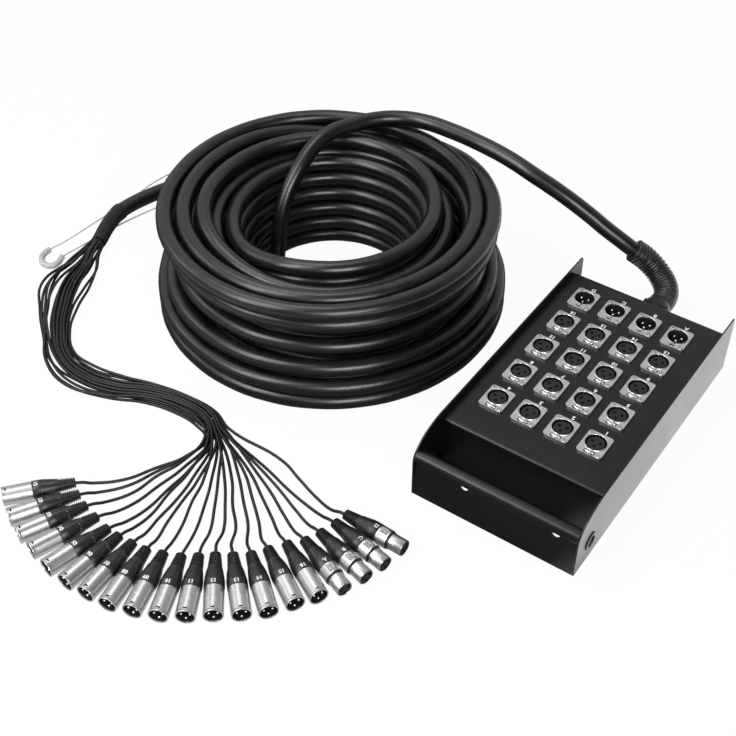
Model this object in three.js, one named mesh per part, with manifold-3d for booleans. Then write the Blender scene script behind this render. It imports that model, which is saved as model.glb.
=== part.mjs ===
// Stage box snake: a sheet steel stage box with twenty panel connectors, a long multicore in a coil,
// and twenty tails that end in cable plugs, laid out on the floor.
// Millimetres, +Z up. The origin is on the floor under the middle of the stage box.
// +Y runs to the rear of the box, where the multicore leaves it, and +X to its right side.

import * as THREE from 'three';
import { mergeVertices } from 'three/addons/utils/BufferGeometryUtils.js';
import Module from 'manifold-3d';

const wasm = await Module();
wasm.setup();

// General clearances and the overrun of every cut
const seatGap = 0.3;
const cutOverrun = 1;

// Stage box, folded from sheet steel
const boxWidth = 179;
const boxLength = 340;
const cheekHeight = 72;
const panelHeight = 62;
const sheet = 1.5;
const recessLength = 51;
const wingLength = 18;
const noseLength = 50;
const noseRise = 28;
const wingTipRadius = 5;
const foldRadius = 3;
const sideHoleDiameter = 16;
const sideHoleHeight = 23.5;
const sideHoleSetback = 28;

// Front handle, a wall with a rolled top edge
const handleHeight = 55;
const rollDiameter = 10;
const rollTurnShare = 0.8;
const frontHoleDiameter = 8;
const frontHoleDrop = 11.5;
const frontHolePitch = 98;
const frontHoleShift = 16;

// Connector grid on the panel
const columnCount = 4;
const femaleRowCount = 4;
const columnPitchShare = 0.201;
const rowPitchShare = 0.1675;
const gridShiftXShare = -0.022;
const gridShiftYShare = 0.025;

// Panel connectors, with the common 26 by 31 flange
const flangeWidth = 26;
const flangeLength = 31;
const flangeThickness = 2.5;
const flangeCorner = 3;
const socketShift = 2;
const socketDiameter = 21;
const socketDepth = 12;
const insertDiameter = 17.6;
const bodyDiameter = 24.5;
const bodySeat = 0.4;
const bodyDepth = 19;
const roundSides = 12;
const bodySides = 8;
const keyWidth = 5;
const keyDepth = 1.6;

// Push tabs of the female panel connectors
const tabWidth = 11;
const tabLength = 4.6;
const tabCorner = 1.2;
const tabStand = 1.4;
const tabSeat = 0.5;
const tabTravel = 1.8;
const tabClearance = 0.3;
const tabEdge = 1.2;

// Contacts, the same in all connectors
const pinDiameter = 2.4;
const pinCircleRadius = 4.3;
const pinLength = 10;
const pinSides = 5;
const pinAnglesDeg = [20, 160, 270];
const contactHoleDiameter = 2.8;
const contactHoleDepth = 6;

// Cable plugs
const plugShellDiameter = 19;
const plugLength = 70;
const plugSides = 10;
const bootLength = 33;
const bootTipDiameter = 9.6;
const bootRibbedDiameter = 13.4;
const bootRibbedLength = 16;
const bootShoulderDiameter = 14.9;
const bootShoulderLength = 4;
const ringDiameter = 19.5;
const ringLength = 8;
const cupWall = 1.15;
const cupDepth = 15;
const rearShellLength = 12;
const shadowGapLength = 2;
const shadowGapDiameter = 17.4;
const barrelDiameter = 16;
const plugFloorGap = 0.5;
const plugAxisHeight = plugShellDiameter / 2 + plugFloorGap;
const latchSlotWidth = 5;
const latchSlotLength = 1.6;
const latchSlotSetback = 2.6;

// Latch buttons of the female cable plugs
const buttonWidth = 5;
const buttonLength = 8;
const buttonCorner = 1.2;
const buttonStand = 1;
const buttonSeat = 1;
const buttonTravel = 0.9;
const buttonClearance = 0.3;

// Cable gland and bend protector
const glandX = 3;
const glandHeight = 38;
const glandThreadDiameter = 22;
const glandNutWidth = 36;
const glandNutThickness = 8;
const glandDomeDiameter = 35;
const glandDomeLength = 22;
const glandMouthDiameter = 26;
const glandInsideLength = 12;
const locknutThickness = 5;
const locknutWidth = 32;
const protectorDiameter = 27;
const protectorRootDiameter = 23.5;
const protectorRibCount = 20;
const protectorSides = 8;
const glandDomeSides = 12;

// Multicore
const multicoreDiameter = 18;
const multicoreSides = 8;
const leadSteps = 22;
const tailEndSteps = 10;

// Coil of the multicore: the turns that can be seen, over a plain core in place of the inner ones.
// The cord climbs the inner wall, spirals out over the top and comes down the outer wall.
const coilCentreX = -331;
const coilCentreY = 33;
const coilFloorGap = 0.3;
const coilLayerPitch = 19;
const coilRaisedLayers = 6;
const coilInnerLowRadius = 96;
const coilInnerHighRadius = 108;
const coilTopRadius = 176;
const coilWaistRadius = 152;
const coilShoulderRadius = 165;
const coilBellyRadius = 178;
const coilFootRadius = 187;
const coilStartDeg = -3;
const coilTurns = 14.3;
const coilStepsPerTurn = 20;
const coilSides = 6;
const coilEndCurve = 1.8;
const coilCoreGap = 3;
const climbTurns = 0.25;
const firstClimbTurn = 0.63;
const firstFallTurn = 8.3;
const leastTurnGap = 0.4;
const gapStepsPerTurn = 48;

// Tails: twenty thin cables, bundled and then fanned out to the plugs. The shares of straight end and
// height in the fan are counted in tail diameters, and the share of the root in one span of the trunk.
const tailDiameter = 3.2;
const tailSides = 8;
const tailSteps = 3;
const tailStraightShare = 3;
const tailFanHeightShare = 0.75;
const tailRootShare = 0.2;
const trunkWidth = 24;
const trunkHeight = 12;
const trunkSides = 8;
const trunkSteps = 13;
const bootShrinkStartDiameter = 19.5;
const bootShrinkEndDiameter = 17;
const bootShrinkSides = 10;
const bootShrinkSteps = 6;

// Pulling loop of steel wire with a clear sleeve on its tip
const wireDiameter = 1.8;
const wireSides = 4;
const sleeveFirst = 8;
const sleeveLast = 14;
const sleeveDiameter = 7;
const sleeveBore = 5.4;
const sleeveSides = 6;

// Wiring loom inside the stage box
const loomDiameter = 14;
const loomSides = 6;
const loomSteps = 6;

// Samples to a span of a route when its length is measured
const samplesPerSpan = 20;

// Routes of the free cords, chosen by hand. Each one goes on where the one before it ends.
const protectorRoute = [
  [3, 182.2, 38], [3, 194, 38], [-0.5, 205, 39.5], [-8, 214, 42.5], [-18, 219.5, 47.5],
  [-28, 221, 54], [-38, 219, 61.5], [-49, 213.5, 70],
];
const leadRoute = [
  [-64, 209, 80], [-83, 205, 91], [-101, 202, 102], [-138, 197, 120.5],
  [-170, 195, 131.5], [-203.5, 197, 139], [-240, 198.5, 143.5], [-287, 202, 143.5], [-320, 200.5, 143],
  [-348.5, 190, 142.7], [-370, 171, 142.7], [-385, 147, 142.5], [-396, 124, 141.5], [-400, 101, 137],
  [-401, 78, 127], [-402, 61, 114], [-403, 47, 98], [-403, 37, 80], [-402, 30, 60],
  [-399, 22, 40], [-393, 8, 22], [-378, -14, 11], [-354, -34, 9.3], [-322, -41, 9.3],
  [-290, -33, 9.3], [-263, -13, 9.3],
];
const tailRoute = [
  [-440, 199, 9.3], [-490, 181, 9.4], [-537, 158, 9.6], [-578, 118, 10], [-602, 78, 10.6],
  [-616, 40, 11.6], [-623, -2, 12.5],
];
const shrinkRoute = [[-621, -18, 12.6], [-615, -38, 11.8], [-606, -62, 9.5]];
const trunkRoute = [
  [-595, -100, 7], [-588, -135, 6.5], [-568, -171, 6.5], [-537, -205, 6.5],
  [-503, -227, 6.5], [-468, -233, 6.5], [-426, -227, 6.5], [-391, -214, 6.5], [-352, -208, 6.5],
  [-318, -211, 6.5], [-296, -222, 6.5],
];
const wireRoute = [
  [-603, 131, 1.2], [-620, 122, 1.2], [-634, 105, 1.2], [-640, 84, 1.2], [-641.5, 46, 1.2],
  [-642.5, 6, 1.2], [-645.5, -38, 1.2], [-648, -78, 1.6], [-649.5, -101, 3.8], [-648.5, -112, 3.8],
  [-643, -120, 3.8], [-633, -124, 3.8], [-625, -120, 3.8], [-624.3, -111, 3.8], [-627.3, -102, 3.8],
  [-627, -80, 1.6], [-623.3, -54, 1.2], [-616.5, -14, 1.2], [-609.5, 14, 1.2], [-601.5, 40, 1.2],
  [-590, 64, 1.2], [-577, 84, 1.2],
];

// Loom behind its start at the gland. Each row: x, share of the panel's length in front of the rear
// wall, and height.
const loomShares = [
  [3, 0.1033, 37.5], [0, 0.1734, 20], [-4, 0.2841, 11], [-4, 0.5609, 11], [-4, 0.8118, 11],
];

// Plugs in the order of the fan. Each row: name, front face x and y, heading of the cable end in
// degrees, then the two middle points of its tail on the way from the trunk.
const plugTable = [
  ['01', -407, -407, 49.8, [-300, -262], [-330, -318]],
  ['02', -383.4, -422.4, 59.6, [-300, -268], [-322, -322]],
  ['03', -361.1, -432.1, 65.7, [-296, -272], [-312, -326]],
  ['04', -337.3, -438.7, 70.8, [-292, -276], [-302, -336]],
  ['05', -310.9, -445.3, 77.6, [-284, -276], [-287, -334]],
  ['06', -285.2, -447.3, 86.9, [-281, -280], [-279, -338]],
  ['07', -260.9, -446.2, 93.8, [-275, -282], [-270, -338]],
  ['08', -236.5, -443.6, 101, [-268, -282], [-260, -336]],
  ['09', -213.4, -436.4, 107, [-262, -280], [-246, -330]],
  ['10', -190.8, -427, 113, [-256, -276], [-232, -326]],
  ['11', -170.2, -413.8, 120, [-250, -272], [-219, -322]],
  ['12', -150.4, -398.7, 127.8, [-246, -266], [-209, -314]],
  ['13', -130, -383.5, 135.6, [-242, -260], [-201, -305]],
  ['14', -112.1, -367.3, 141.8, [-238, -254], [-194, -295]],
  ['15', -97.8, -346.7, 149, [-234, -249], [-188, -286]],
  ['16', -85.1, -328.1, 152.5, [-230, -244], [-182, -274]],
  ['A', -70.8, -308.3, 158.8, [-226, -240], [-176, -264]],
  ['B', -62.4, -286.1, 164.4, [-222, -236], [-168, -254]],
  ['C', -56.4, -263.9, 168.6, [-218, -230], [-162, -243]],
  ['D', -52.2, -238.4, 178, [-214, -213], [-160, -230]],
];

// Materials by finish
const finish = {
  paint: { color: 0x17171a, roughness: 0.55, metalness: 0.2 },
  nickel: { color: 0xc9c9c6, roughness: 0.3, metalness: 0.9 },
  blackPlastic: { color: 0x141415, roughness: 0.55, metalness: 0 },
  jacket: { color: 0x111113, roughness: 0.45, metalness: 0 },
  tail: { color: 0x161617, roughness: 0.5, metalness: 0 },
  wire: { color: 0xd2d2d0, roughness: 0.3, metalness: 1 },
  clear: { color: 0xe8e8e6, roughness: 0.25, metalness: 0 },
};

const part = new THREE.Group();

function degrees(value) {
  return THREE.MathUtils.degToRad(value);
}

// Solids and meshes

function solid(geometry) {
  const bare = new THREE.BufferGeometry();
  bare.setAttribute('position', geometry.getAttribute('position').clone());
  if (geometry.index) bare.setIndex(geometry.index.clone());
  const merged = mergeVertices(bare);
  return new wasm.Manifold(new wasm.Mesh({
    numProp: 3,
    vertProperties: Float32Array.from(merged.getAttribute('position').array),
    triVerts: Uint32Array.from(merged.index.array),
  }));
}

function geometryOf(manifold) {
  const mesh = manifold.getMesh();
  const geometry = new THREE.BufferGeometry();
  geometry.setAttribute('position', new THREE.BufferAttribute(mesh.vertProperties, 3));
  geometry.setIndex(new THREE.BufferAttribute(mesh.triVerts, 1));
  geometry.computeVertexNormals();
  return geometry;
}

function joined(solids) {
  return solids.reduce((whole, next) => whole.add(next));
}

function addNode(name, geometry, look, holder = part) {
  const mesh = new THREE.Mesh(geometry, new THREE.MeshStandardMaterial(finish[look]));
  mesh.name = name;
  holder.add(mesh);
  return mesh;
}

// Basic forms

function block(x0, x1, y0, y1, z0, z1) {
  const box = new THREE.BoxGeometry(x1 - x0, y1 - y0, z1 - z0);
  return box.translate((x0 + x1) / 2, (y0 + y1) / 2, (z0 + z1) / 2);
}

function roundedRectangle(width, length, corner) {
  const shape = new THREE.Shape();
  const x = width / 2;
  const y = length / 2;
  shape.moveTo(-x + corner, -y);
  shape.absarc(x - corner, -y + corner, corner, -Math.PI / 2, 0);
  shape.absarc(x - corner, y - corner, corner, 0, Math.PI / 2);
  shape.absarc(-x + corner, y - corner, corner, Math.PI / 2, Math.PI);
  shape.absarc(-x + corner, -y + corner, corner, Math.PI, 1.5 * Math.PI);
  return shape;
}

function clippedRectangle(width, length, corner) {
  const x = width / 2;
  const y = length / 2;
  return new THREE.Shape([
    [-x + corner, -y], [x - corner, -y], [x, -y + corner], [x, y - corner],
    [x - corner, y], [-x + corner, y], [-x, y - corner], [-x, -y + corner],
  ].map(([px, py]) => new THREE.Vector2(px, py)));
}

function upright(shape, z0, z1) {
  const options = { depth: z1 - z0, bevelEnabled: false, curveSegments: 1 };
  const geometry = new THREE.ExtrudeGeometry(shape, options);
  return geometry.translate(0, 0, z0);
}

// A round bar along +Z with its flats' middle turned to the sides
function bar(radius, z0, z1, sides) {
  const cylinder = new THREE.CylinderGeometry(radius, radius, z1 - z0, sides);
  return cylinder.rotateX(Math.PI / 2).rotateZ(Math.PI / sides).translate(0, 0, (z0 + z1) / 2);
}

// A profile given as (y, z) pairs of a sheet, extruded along X
function alongX(shape, x0, x1, curveSegments) {
  const geometry = new THREE.ExtrudeGeometry(shape, { depth: x1 - x0, bevelEnabled: false, curveSegments });
  geometry.applyMatrix4(new THREE.Matrix4().set(0, 0, 1, x0, 1, 0, 0, 0, 0, 1, 0, 0, 0, 0, 0, 1));
  return geometry;
}

// A closed profile of (radius, distance) pairs turned about the axis +Z
function turned(points, sides) {
  const profile = points.map(([radius, distance]) => new THREE.Vector2(radius, distance));
  return new THREE.LatheGeometry(profile, sides).rotateX(Math.PI / 2);
}

function polygon(radiusX, radiusY, sides) {
  const shape = new THREE.Shape();
  for (let i = 0; i < sides; i += 1) {
    const angle = (2 * Math.PI * (i + 0.5)) / sides;
    const x = radiusX * Math.cos(angle);
    const y = radiusY * Math.sin(angle);
    if (i === 0) shape.moveTo(x, y);
    else shape.lineTo(x, y);
  }
  shape.closePath();
  return shape;
}

function curveThrough(points) {
  const vectors = points.map((point) => new THREE.Vector3(...point));
  return new THREE.CatmullRomCurve3(vectors, false, 'centripetal');
}

function tube(curve, section, steps) {
  return new THREE.ExtrudeGeometry(section, { extrudePath: curve, steps, bevelEnabled: false });
}

// Stage box: pan with its cheeks

const halfWidth = boxWidth / 2;
const frontY = -boxLength / 2;
const rearY = boxLength / 2;
const recessY = frontY + recessLength;
const rearWallY = rearY - wingLength;

function cheekOutline() {
  const shape = new THREE.Shape();
  shape.moveTo(frontY, 0);
  shape.lineTo(rearY, 0);
  shape.lineTo(rearY, cheekHeight - wingTipRadius);
  shape.absarc(rearY - wingTipRadius, cheekHeight - wingTipRadius, wingTipRadius, 0, Math.PI / 2);
  shape.lineTo(frontY + noseLength, cheekHeight);
  shape.absellipse(frontY + noseLength, cheekHeight - noseRise, noseLength, noseRise, Math.PI / 2, Math.PI);
  shape.lineTo(frontY, 0);
  const hole = new THREE.Path();
  const holeY = frontY + sideHoleSetback;
  hole.absarc(holeY, sideHoleHeight, sideHoleDiameter / 2, 0, 2 * Math.PI, true);
  shape.holes.push(hole);
  return shape;
}

function addPan() {
  const outline = cheekOutline();
  const left = solid(alongX(outline, -halfWidth, -halfWidth + sheet, 5));
  const right = solid(alongX(outline, halfWidth - sheet, halfWidth, 5));
  const floor = solid(block(-halfWidth, halfWidth, recessY, rearWallY, 0, sheet));
  addNode('base_pan', geometryOf(joined([left, right, floor])), 'paint');
}

// Stage box: front handle

function addHandle() {
  const rollRadius = rollDiameter / 2;
  const wallTop = handleHeight - rollRadius;
  const rollEnd = Math.PI - rollTurnShare * 2 * Math.PI;
  const rollY = frontY + rollRadius;
  const shape = new THREE.Shape();
  shape.moveTo(frontY, 0);
  shape.lineTo(frontY, wallTop);
  shape.absarc(rollY, wallTop, rollRadius, Math.PI, rollEnd, true);
  shape.absarc(rollY, wallTop, rollRadius - sheet, rollEnd, Math.PI, false);
  shape.lineTo(frontY + sheet, 0);
  const inside = halfWidth - sheet - seatGap;
  let wall = solid(alongX(shape, -inside, inside, 6));
  for (const side of [-1, 1]) {
    const drill = new THREE.CylinderGeometry(
      frontHoleDiameter / 2, frontHoleDiameter / 2, sheet + 2 * cutOverrun, roundSides,
    );
    drill.translate(
      frontHoleShift + (side * frontHolePitch) / 2, frontY + sheet / 2, handleHeight - frontHoleDrop,
    );
    wall = wall.subtract(solid(drill));
  }
  addNode('handle_plate', geometryOf(wall), 'paint');
}

// Stage box: connector panel with the female connectors riveted in

function panelOutline() {
  const low = sheet + seatGap;
  const inner = foldRadius - sheet;
  const front = recessY;
  const rear = rearWallY;
  const top = panelHeight;
  const shape = new THREE.Shape();
  shape.moveTo(front, low);
  shape.lineTo(front + sheet, low);
  shape.absarc(front + foldRadius, top - foldRadius, inner, Math.PI, Math.PI / 2, true);
  shape.absarc(rear - foldRadius, top - foldRadius, inner, Math.PI / 2, 0, true);
  shape.lineTo(rear - sheet, low);
  shape.lineTo(rear, low);
  shape.absarc(rear - foldRadius, top - foldRadius, foldRadius, 0, Math.PI / 2);
  shape.absarc(front + foldRadius, top - foldRadius, foldRadius, Math.PI / 2, Math.PI);
  return shape;
}

// Middle of a connector's flange. The grid is spread over the panel in shares of its sides.
function gridPlace(row, column) {
  const panelLength = rearWallY - recessY;
  const acrossShare = gridShiftXShare + columnPitchShare * (column - (columnCount - 1) / 2);
  const alongShare = gridShiftYShare + rowPitchShare * (row - femaleRowCount / 2);
  return [boxWidth * acrossShare, (recessY + rearWallY) / 2 + panelLength * alongShare];
}

const flangeBottom = panelHeight;
const flangeTop = panelHeight + flangeThickness;
const tabY = -flangeLength / 2 + tabEdge + tabLength / 2;

// The outside of a panel connector: a flange over the panel and a round body below it
function connectorBlank() {
  const outline = roundedRectangle(flangeWidth, flangeLength, flangeCorner);
  const flange = upright(outline, flangeBottom, flangeTop);
  const body = bar(bodyDiameter / 2, flangeBottom - bodyDepth, flangeTop - cutOverrun, bodySides);
  body.translate(0, socketShift, 0);
  return solid(flange).add(solid(body));
}

// Middles of the three contacts, from the middle of their socket or plug
function contactPlaces() {
  return pinAnglesDeg.map((angle) => [
    pinCircleRadius * Math.cos(degrees(angle)), pinCircleRadius * Math.sin(degrees(angle)),
  ]);
}

function femaleConnector() {
  const socketFloor = flangeTop - socketDepth;
  const slot = solid(bar(socketDiameter / 2, socketFloor, flangeTop + cutOverrun, roundSides))
    .subtract(
      solid(bar(insertDiameter / 2, socketFloor - cutOverrun, flangeTop + 2 * cutOverrun, roundSides)),
    );
  let connector = connectorBlank().subtract(slot.translate([0, socketShift, 0]));
  for (const [x, y] of contactPlaces()) {
    const drill = bar(
      contactHoleDiameter / 2, flangeTop - contactHoleDepth, flangeTop + cutOverrun, pinSides,
    );
    connector = connector.subtract(solid(drill.translate(x, socketShift + y, 0)));
  }
  return connector;
}

function tabPocket() {
  const halfX = tabWidth / 2 + tabClearance;
  const halfY = tabLength / 2 + tabClearance;
  const depth = tabSeat + tabTravel + tabClearance;
  return solid(block(-halfX, halfX, tabY - halfY, tabY + halfY, flangeTop - depth, flangeTop + cutOverrun));
}

// A hole through the top sheet of the panel under a connector
function panelHole(radius) {
  const hole = bar(radius, panelHeight - sheet - cutOverrun, panelHeight + cutOverrun, bodySides);
  return solid(hole.translate(0, socketShift, 0));
}

function addPanel() {
  const inside = halfWidth - sheet - seatGap;
  let panel = solid(alongX(panelOutline(), -inside, inside, 3));
  const female = femaleConnector();
  const pocket = tabPocket();
  const femaleHole = panelHole(bodyDiameter / 2 - bodySeat);
  const maleHole = panelHole(bodyDiameter / 2 + seatGap);
  for (let row = 0; row <= femaleRowCount; row += 1) {
    for (let column = 0; column < columnCount; column += 1) {
      const place = [...gridPlace(row, column), 0];
      if (row < femaleRowCount) {
        panel = panel.subtract(femaleHole.translate(place));
        panel = panel.add(female.translate(place)).subtract(pocket.translate(place));
      } else {
        panel = panel.subtract(maleHole.translate(place));
      }
    }
  }
  const drill = bar(glandThreadDiameter / 2 + seatGap, -sheet - cutOverrun, cutOverrun, roundSides);
  drill.rotateX(-Math.PI / 2).translate(glandX, rearWallY, glandHeight);
  addNode('connector_panel', geometryOf(panel.subtract(solid(drill))), 'paint');
}

function addMaleConnectors() {
  const socketFloor = flangeTop - socketDepth;
  const cup = solid(bar(socketDiameter / 2, socketFloor, flangeTop + cutOverrun, roundSides));
  let connector = connectorBlank().translate([0, 0, seatGap]);
  connector = connector.subtract(cup.translate([0, socketShift, seatGap]));
  const keyY = socketShift - socketDiameter / 2;
  const key = block(
    -keyWidth / 2, keyWidth / 2, keyY - keyDepth, keyY + keyDepth,
    flangeBottom + 2 * seatGap, flangeTop + cutOverrun,
  );
  connector = connector.subtract(solid(key));
  for (const [x, y] of contactPlaces()) {
    const pin = bar(pinDiameter / 2, socketFloor - cutOverrun, socketFloor + pinLength, pinSides);
    connector = connector.add(solid(pin.translate(x, socketShift + y, seatGap)));
  }
  const geometry = geometryOf(connector);
  for (let column = 0; column < columnCount; column += 1) {
    const [x, y] = gridPlace(femaleRowCount, column);
    const letter = 'ABCD'[columnCount - 1 - column];
    addNode(`panel_plug_${letter}`, geometry.clone(), 'nickel').position.set(x, y, 0);
  }
}

function twoDigits(number) {
  return String(number).padStart(2, '0');
}

function addPushTabs() {
  const tab = upright(
    clippedRectangle(tabWidth, tabLength, tabCorner), flangeTop - tabSeat, flangeTop + tabStand,
  );
  for (let row = 0; row < femaleRowCount; row += 1) {
    for (let column = 0; column < columnCount; column += 1) {
      const [x, y] = gridPlace(row, column);
      const number = row * columnCount + (columnCount - column);
      const mesh = addNode(`push_tab_${twoDigits(number)}`, geometryOf(solid(tab)), 'nickel');
      mesh.position.set(x, y + tabY, 0);
    }
  }
}

// Cable gland in the rear wall, with its locknut and bend protector

function hexagon(widthAcrossFlats) {
  return polygon(widthAcrossFlats / Math.sqrt(3), widthAcrossFlats / Math.sqrt(3), 6);
}

function addGland() {
  const nut = upright(hexagon(glandNutWidth), seatGap, glandNutThickness);
  const domeEnd = glandNutThickness + glandDomeLength;
  const dome = turned([
    [0, seatGap + cutOverrun], [glandDomeDiameter / 2, seatGap + cutOverrun],
    [glandDomeDiameter / 2, glandNutThickness + glandDomeLength / 3],
    [(glandDomeDiameter + glandMouthDiameter) / 4, glandNutThickness + (2 * glandDomeLength) / 3],
    [glandMouthDiameter / 2, domeEnd], [0, domeEnd],
  ], glandDomeSides);
  const thread = bar(glandThreadDiameter / 2, -glandInsideLength, seatGap + cutOverrun, roundSides);
  const gland = joined([solid(nut), solid(dome), solid(thread)]);
  const holder = new THREE.Group();
  holder.position.set(glandX, rearWallY, glandHeight);
  holder.rotation.x = -Math.PI / 2;
  part.add(holder);
  addNode('cable_gland', geometryOf(gland), 'blackPlastic', holder);
  const nutFace = -sheet - seatGap;
  const ring = upright(hexagon(locknutWidth), nutFace - locknutThickness, nutFace);
  const bore = bar(
    glandThreadDiameter / 2 + seatGap, nutFace - locknutThickness - cutOverrun,
    nutFace + cutOverrun, roundSides,
  );
  addNode('gland_locknut', geometryOf(solid(ring).subtract(solid(bore))), 'blackPlastic', holder);
}

// The way of a row of points at each one, from the point before it to the point after it
function waysOf(points) {
  return points.map((point, i) => {
    const before = points[Math.max(i - 1, 0)];
    const after = points[Math.min(i + 1, points.length - 1)];
    return after.clone().sub(before).normalize();
  });
}

// A closed tube along a row of points, with a ring of its surface at each one
function ringedTube(points, radii, sides, ways = waysOf(points)) {
  const positions = [];
  const index = [];
  const normal = new THREE.Vector3();
  points.forEach((point, ring) => {
    const tangent = ways[ring];
    if (ring === 0) normal.crossVectors(tangent, new THREE.Vector3(0, 0, 1));
    normal.addScaledVector(tangent, -normal.dot(tangent)).normalize();
    const binormal = tangent.clone().cross(normal);
    for (let side = 0; side < sides; side += 1) {
      const angle = (2 * Math.PI * (side + 0.5)) / sides;
      const corner = point.clone()
        .addScaledVector(normal, radii[ring] * Math.cos(angle))
        .addScaledVector(binormal, radii[ring] * Math.sin(angle));
      positions.push(...corner.toArray());
    }
  });
  const last = (points.length - 1) * sides;
  for (let first = 0; first < last; first += sides) {
    for (let side = 0; side < sides; side += 1) {
      const a = first + side;
      const b = first + ((side + 1) % sides);
      index.push(a, b, b + sides, a, b + sides, a + sides);
    }
  }
  for (let side = 1; side < sides - 1; side += 1) {
    index.push(0, side + 1, side, last, last + side, last + side + 1);
  }
  const geometry = new THREE.BufferGeometry();
  geometry.setAttribute('position', new THREE.Float32BufferAttribute(positions, 3));
  geometry.setIndex(index);
  geometry.computeVertexNormals();
  return geometry;
}

// The same along a curve, with rings at even distances
function ringedAlong(curve, radii, sides) {
  const last = radii.length - 1;
  const ways = radii.map((radius, ring) => curve.getTangentAt(ring / last));
  return ringedTube(curve.getSpacedPoints(last), radii, sides, ways);
}

function addProtector() {
  const curve = new Stretch(frontRoute(), 0, protectorRoute.length - 1);
  const last = 2 * protectorRibCount - 1;
  const radii = [];
  for (let ring = 0; ring <= last; ring += 1) {
    const onRib = Math.floor((ring + 1) / 2) % 2 === 1;
    radii.push((onRib ? protectorDiameter : protectorRootDiameter) / 2);
  }
  addNode('bend_protector', ringedAlong(curve, radii, protectorSides), 'blackPlastic');
}

// Multicore: the lead to the coil, the coil, and the end with the breakout

// One stretch of a longer route, between two of its points. It stops half the seat gap short of
// both, so that it meets the next stretch face to face.
class Stretch extends THREE.Curve {
  constructor(route, first, last) {
    super();
    this.whole = curveThrough(route);
    const lengths = this.whole.getLengths(samplesPerSpan * (route.length - 1));
    const total = lengths[lengths.length - 1];
    this.start = (lengths[samplesPerSpan * first] + seatGap / 2) / total;
    this.end = (lengths[samplesPerSpan * last] - seatGap / 2) / total;
  }

  getPoint(share, target = new THREE.Vector3()) {
    return this.whole.getPointAt(THREE.MathUtils.lerp(this.start, this.end, share), target);
  }
}

// Radius of the cord's middle line at these turns, with even changes between them
const coilStations = [
  [0, coilInnerLowRadius], [5.75, coilInnerHighRadius], [8, coilTopRadius], [8.45, coilTopRadius],
  [8.65, coilWaistRadius], [10.3, coilWaistRadius], [10.55, coilShoulderRadius], [11.3, coilShoulderRadius],
  [11.55, coilBellyRadius], [12.3, coilBellyRadius], [12.55, coilFootRadius], [coilTurns, coilFootRadius],
];
const coilLowest = multicoreDiameter / 2 + coilFloorGap;

function coilRadius(turn) {
  const next = Math.max(1, coilStations.findIndex(([stationTurn]) => stationTurn >= turn));
  const [turnA, radiusA] = coilStations[next - 1];
  const [turnB, radiusB] = coilStations[next];
  return THREE.MathUtils.mapLinear(turn, turnA, turnB, radiusA, radiusB);
}

// Each turn lies flat for most of its way, and changes its layer in a quarter of a turn
function coilHeight(turn) {
  let layer = 0;
  for (let i = 0; i < coilRaisedLayers; i += 1) {
    const climb = firstClimbTurn + i;
    const fall = firstFallTurn + i;
    layer += THREE.MathUtils.smoothstep(turn, climb, climb + climbTurns);
    layer -= THREE.MathUtils.smoothstep(turn, fall, fall + climbTurns);
  }
  return coilLowest + coilLayerPitch * layer;
}

class CoilCurve extends THREE.Curve {
  getPoint(share, target = new THREE.Vector3()) {
    const turn = Math.min(share * coilTurns, coilTurns);
    const angle = degrees(coilStartDeg) + 2 * Math.PI * turn;
    const radius = coilRadius(turn);
    return target.set(
      coilCentreX + radius * Math.cos(angle), coilCentreY + radius * Math.sin(angle), coilHeight(turn),
    );
  }
}

// A point straight before or after the turns, a number of cord diameters away from them
function coilEnd(share, way) {
  const curve = new CoilCurve();
  const point = curve.getPoint(share);
  const tangent = curve.getTangent(share).setZ(0).normalize();
  return point.addScaledVector(tangent, way * multicoreDiameter);
}

// The whole way of the cord from the gland to the coil
function frontRoute() {
  const toCoil = [coilEnd(0, -coilEndCurve), coilEnd(0, -1), coilEnd(0, 0)];
  return [...protectorRoute, ...leadRoute, ...toCoil.map((point) => point.toArray())];
}

// The whole way of the cord from the coil to the fan
function backRoute() {
  const fromCoil = [coilEnd(1, 0), coilEnd(1, 1), coilEnd(1, coilEndCurve)];
  return [...fromCoil.map((point) => point.toArray()), ...tailRoute, ...shrinkRoute, ...trunkRoute];
}

function leastGapOfTurns(curve) {
  const count = Math.round(gapStepsPerTurn * coilTurns);
  const points = [];
  for (let i = 0; i <= count; i += 1) points.push(curve.getPoint(i / count));
  let least = Infinity;
  for (let i = 0; i <= count; i += 1) {
    for (let j = i + gapStepsPerTurn / 2; j <= count; j += 1) {
      least = Math.min(least, points[i].distanceTo(points[j]));
    }
  }
  return least - multicoreDiameter;
}

// The turns run straight for one diameter at both ends
function addCoil() {
  const radius = multicoreDiameter / 2;
  const turns = new CoilCurve().getPoints(Math.round(coilStepsPerTurn * coilTurns));
  const points = [coilEnd(0, -1), ...turns, coilEnd(1, 1)];
  addNode('coil_winding', ringedTube(points, points.map(() => radius), coilSides), 'jacket');
  const gap = leastGapOfTurns(new CoilCurve());
  console.log(`least gap between turns of the coil: ${gap.toFixed(2)} mm, wanted over ${leastTurnGap} mm`);
  const clear = radius + coilCoreGap;
  const coreTop = coilLowest + coilRaisedLayers * coilLayerPitch - clear;
  const outerWall = [coilFootRadius, coilBellyRadius, coilShoulderRadius, coilWaistRadius];
  const core = turned([
    [coilInnerLowRadius + clear, 0], [coilFootRadius - clear, 0],
    ...outerWall.map((wall, i) => [wall - clear, coilLowest + (i + 1) * coilLayerPitch]),
    [coilWaistRadius - clear, coreTop], [coilInnerHighRadius + clear, coreTop],
    [coilInnerLowRadius + clear, 0],
  ], coilStepsPerTurn).rotateZ(degrees(coilStartDeg));
  addNode('coil_core', core, 'jacket').position.set(coilCentreX, coilCentreY, 0);
}

const tailEnd = 2 + tailRoute.length;
const shrinkEnd = tailEnd + shrinkRoute.length;
const trunkEnd = shrinkEnd + trunkRoute.length;

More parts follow.
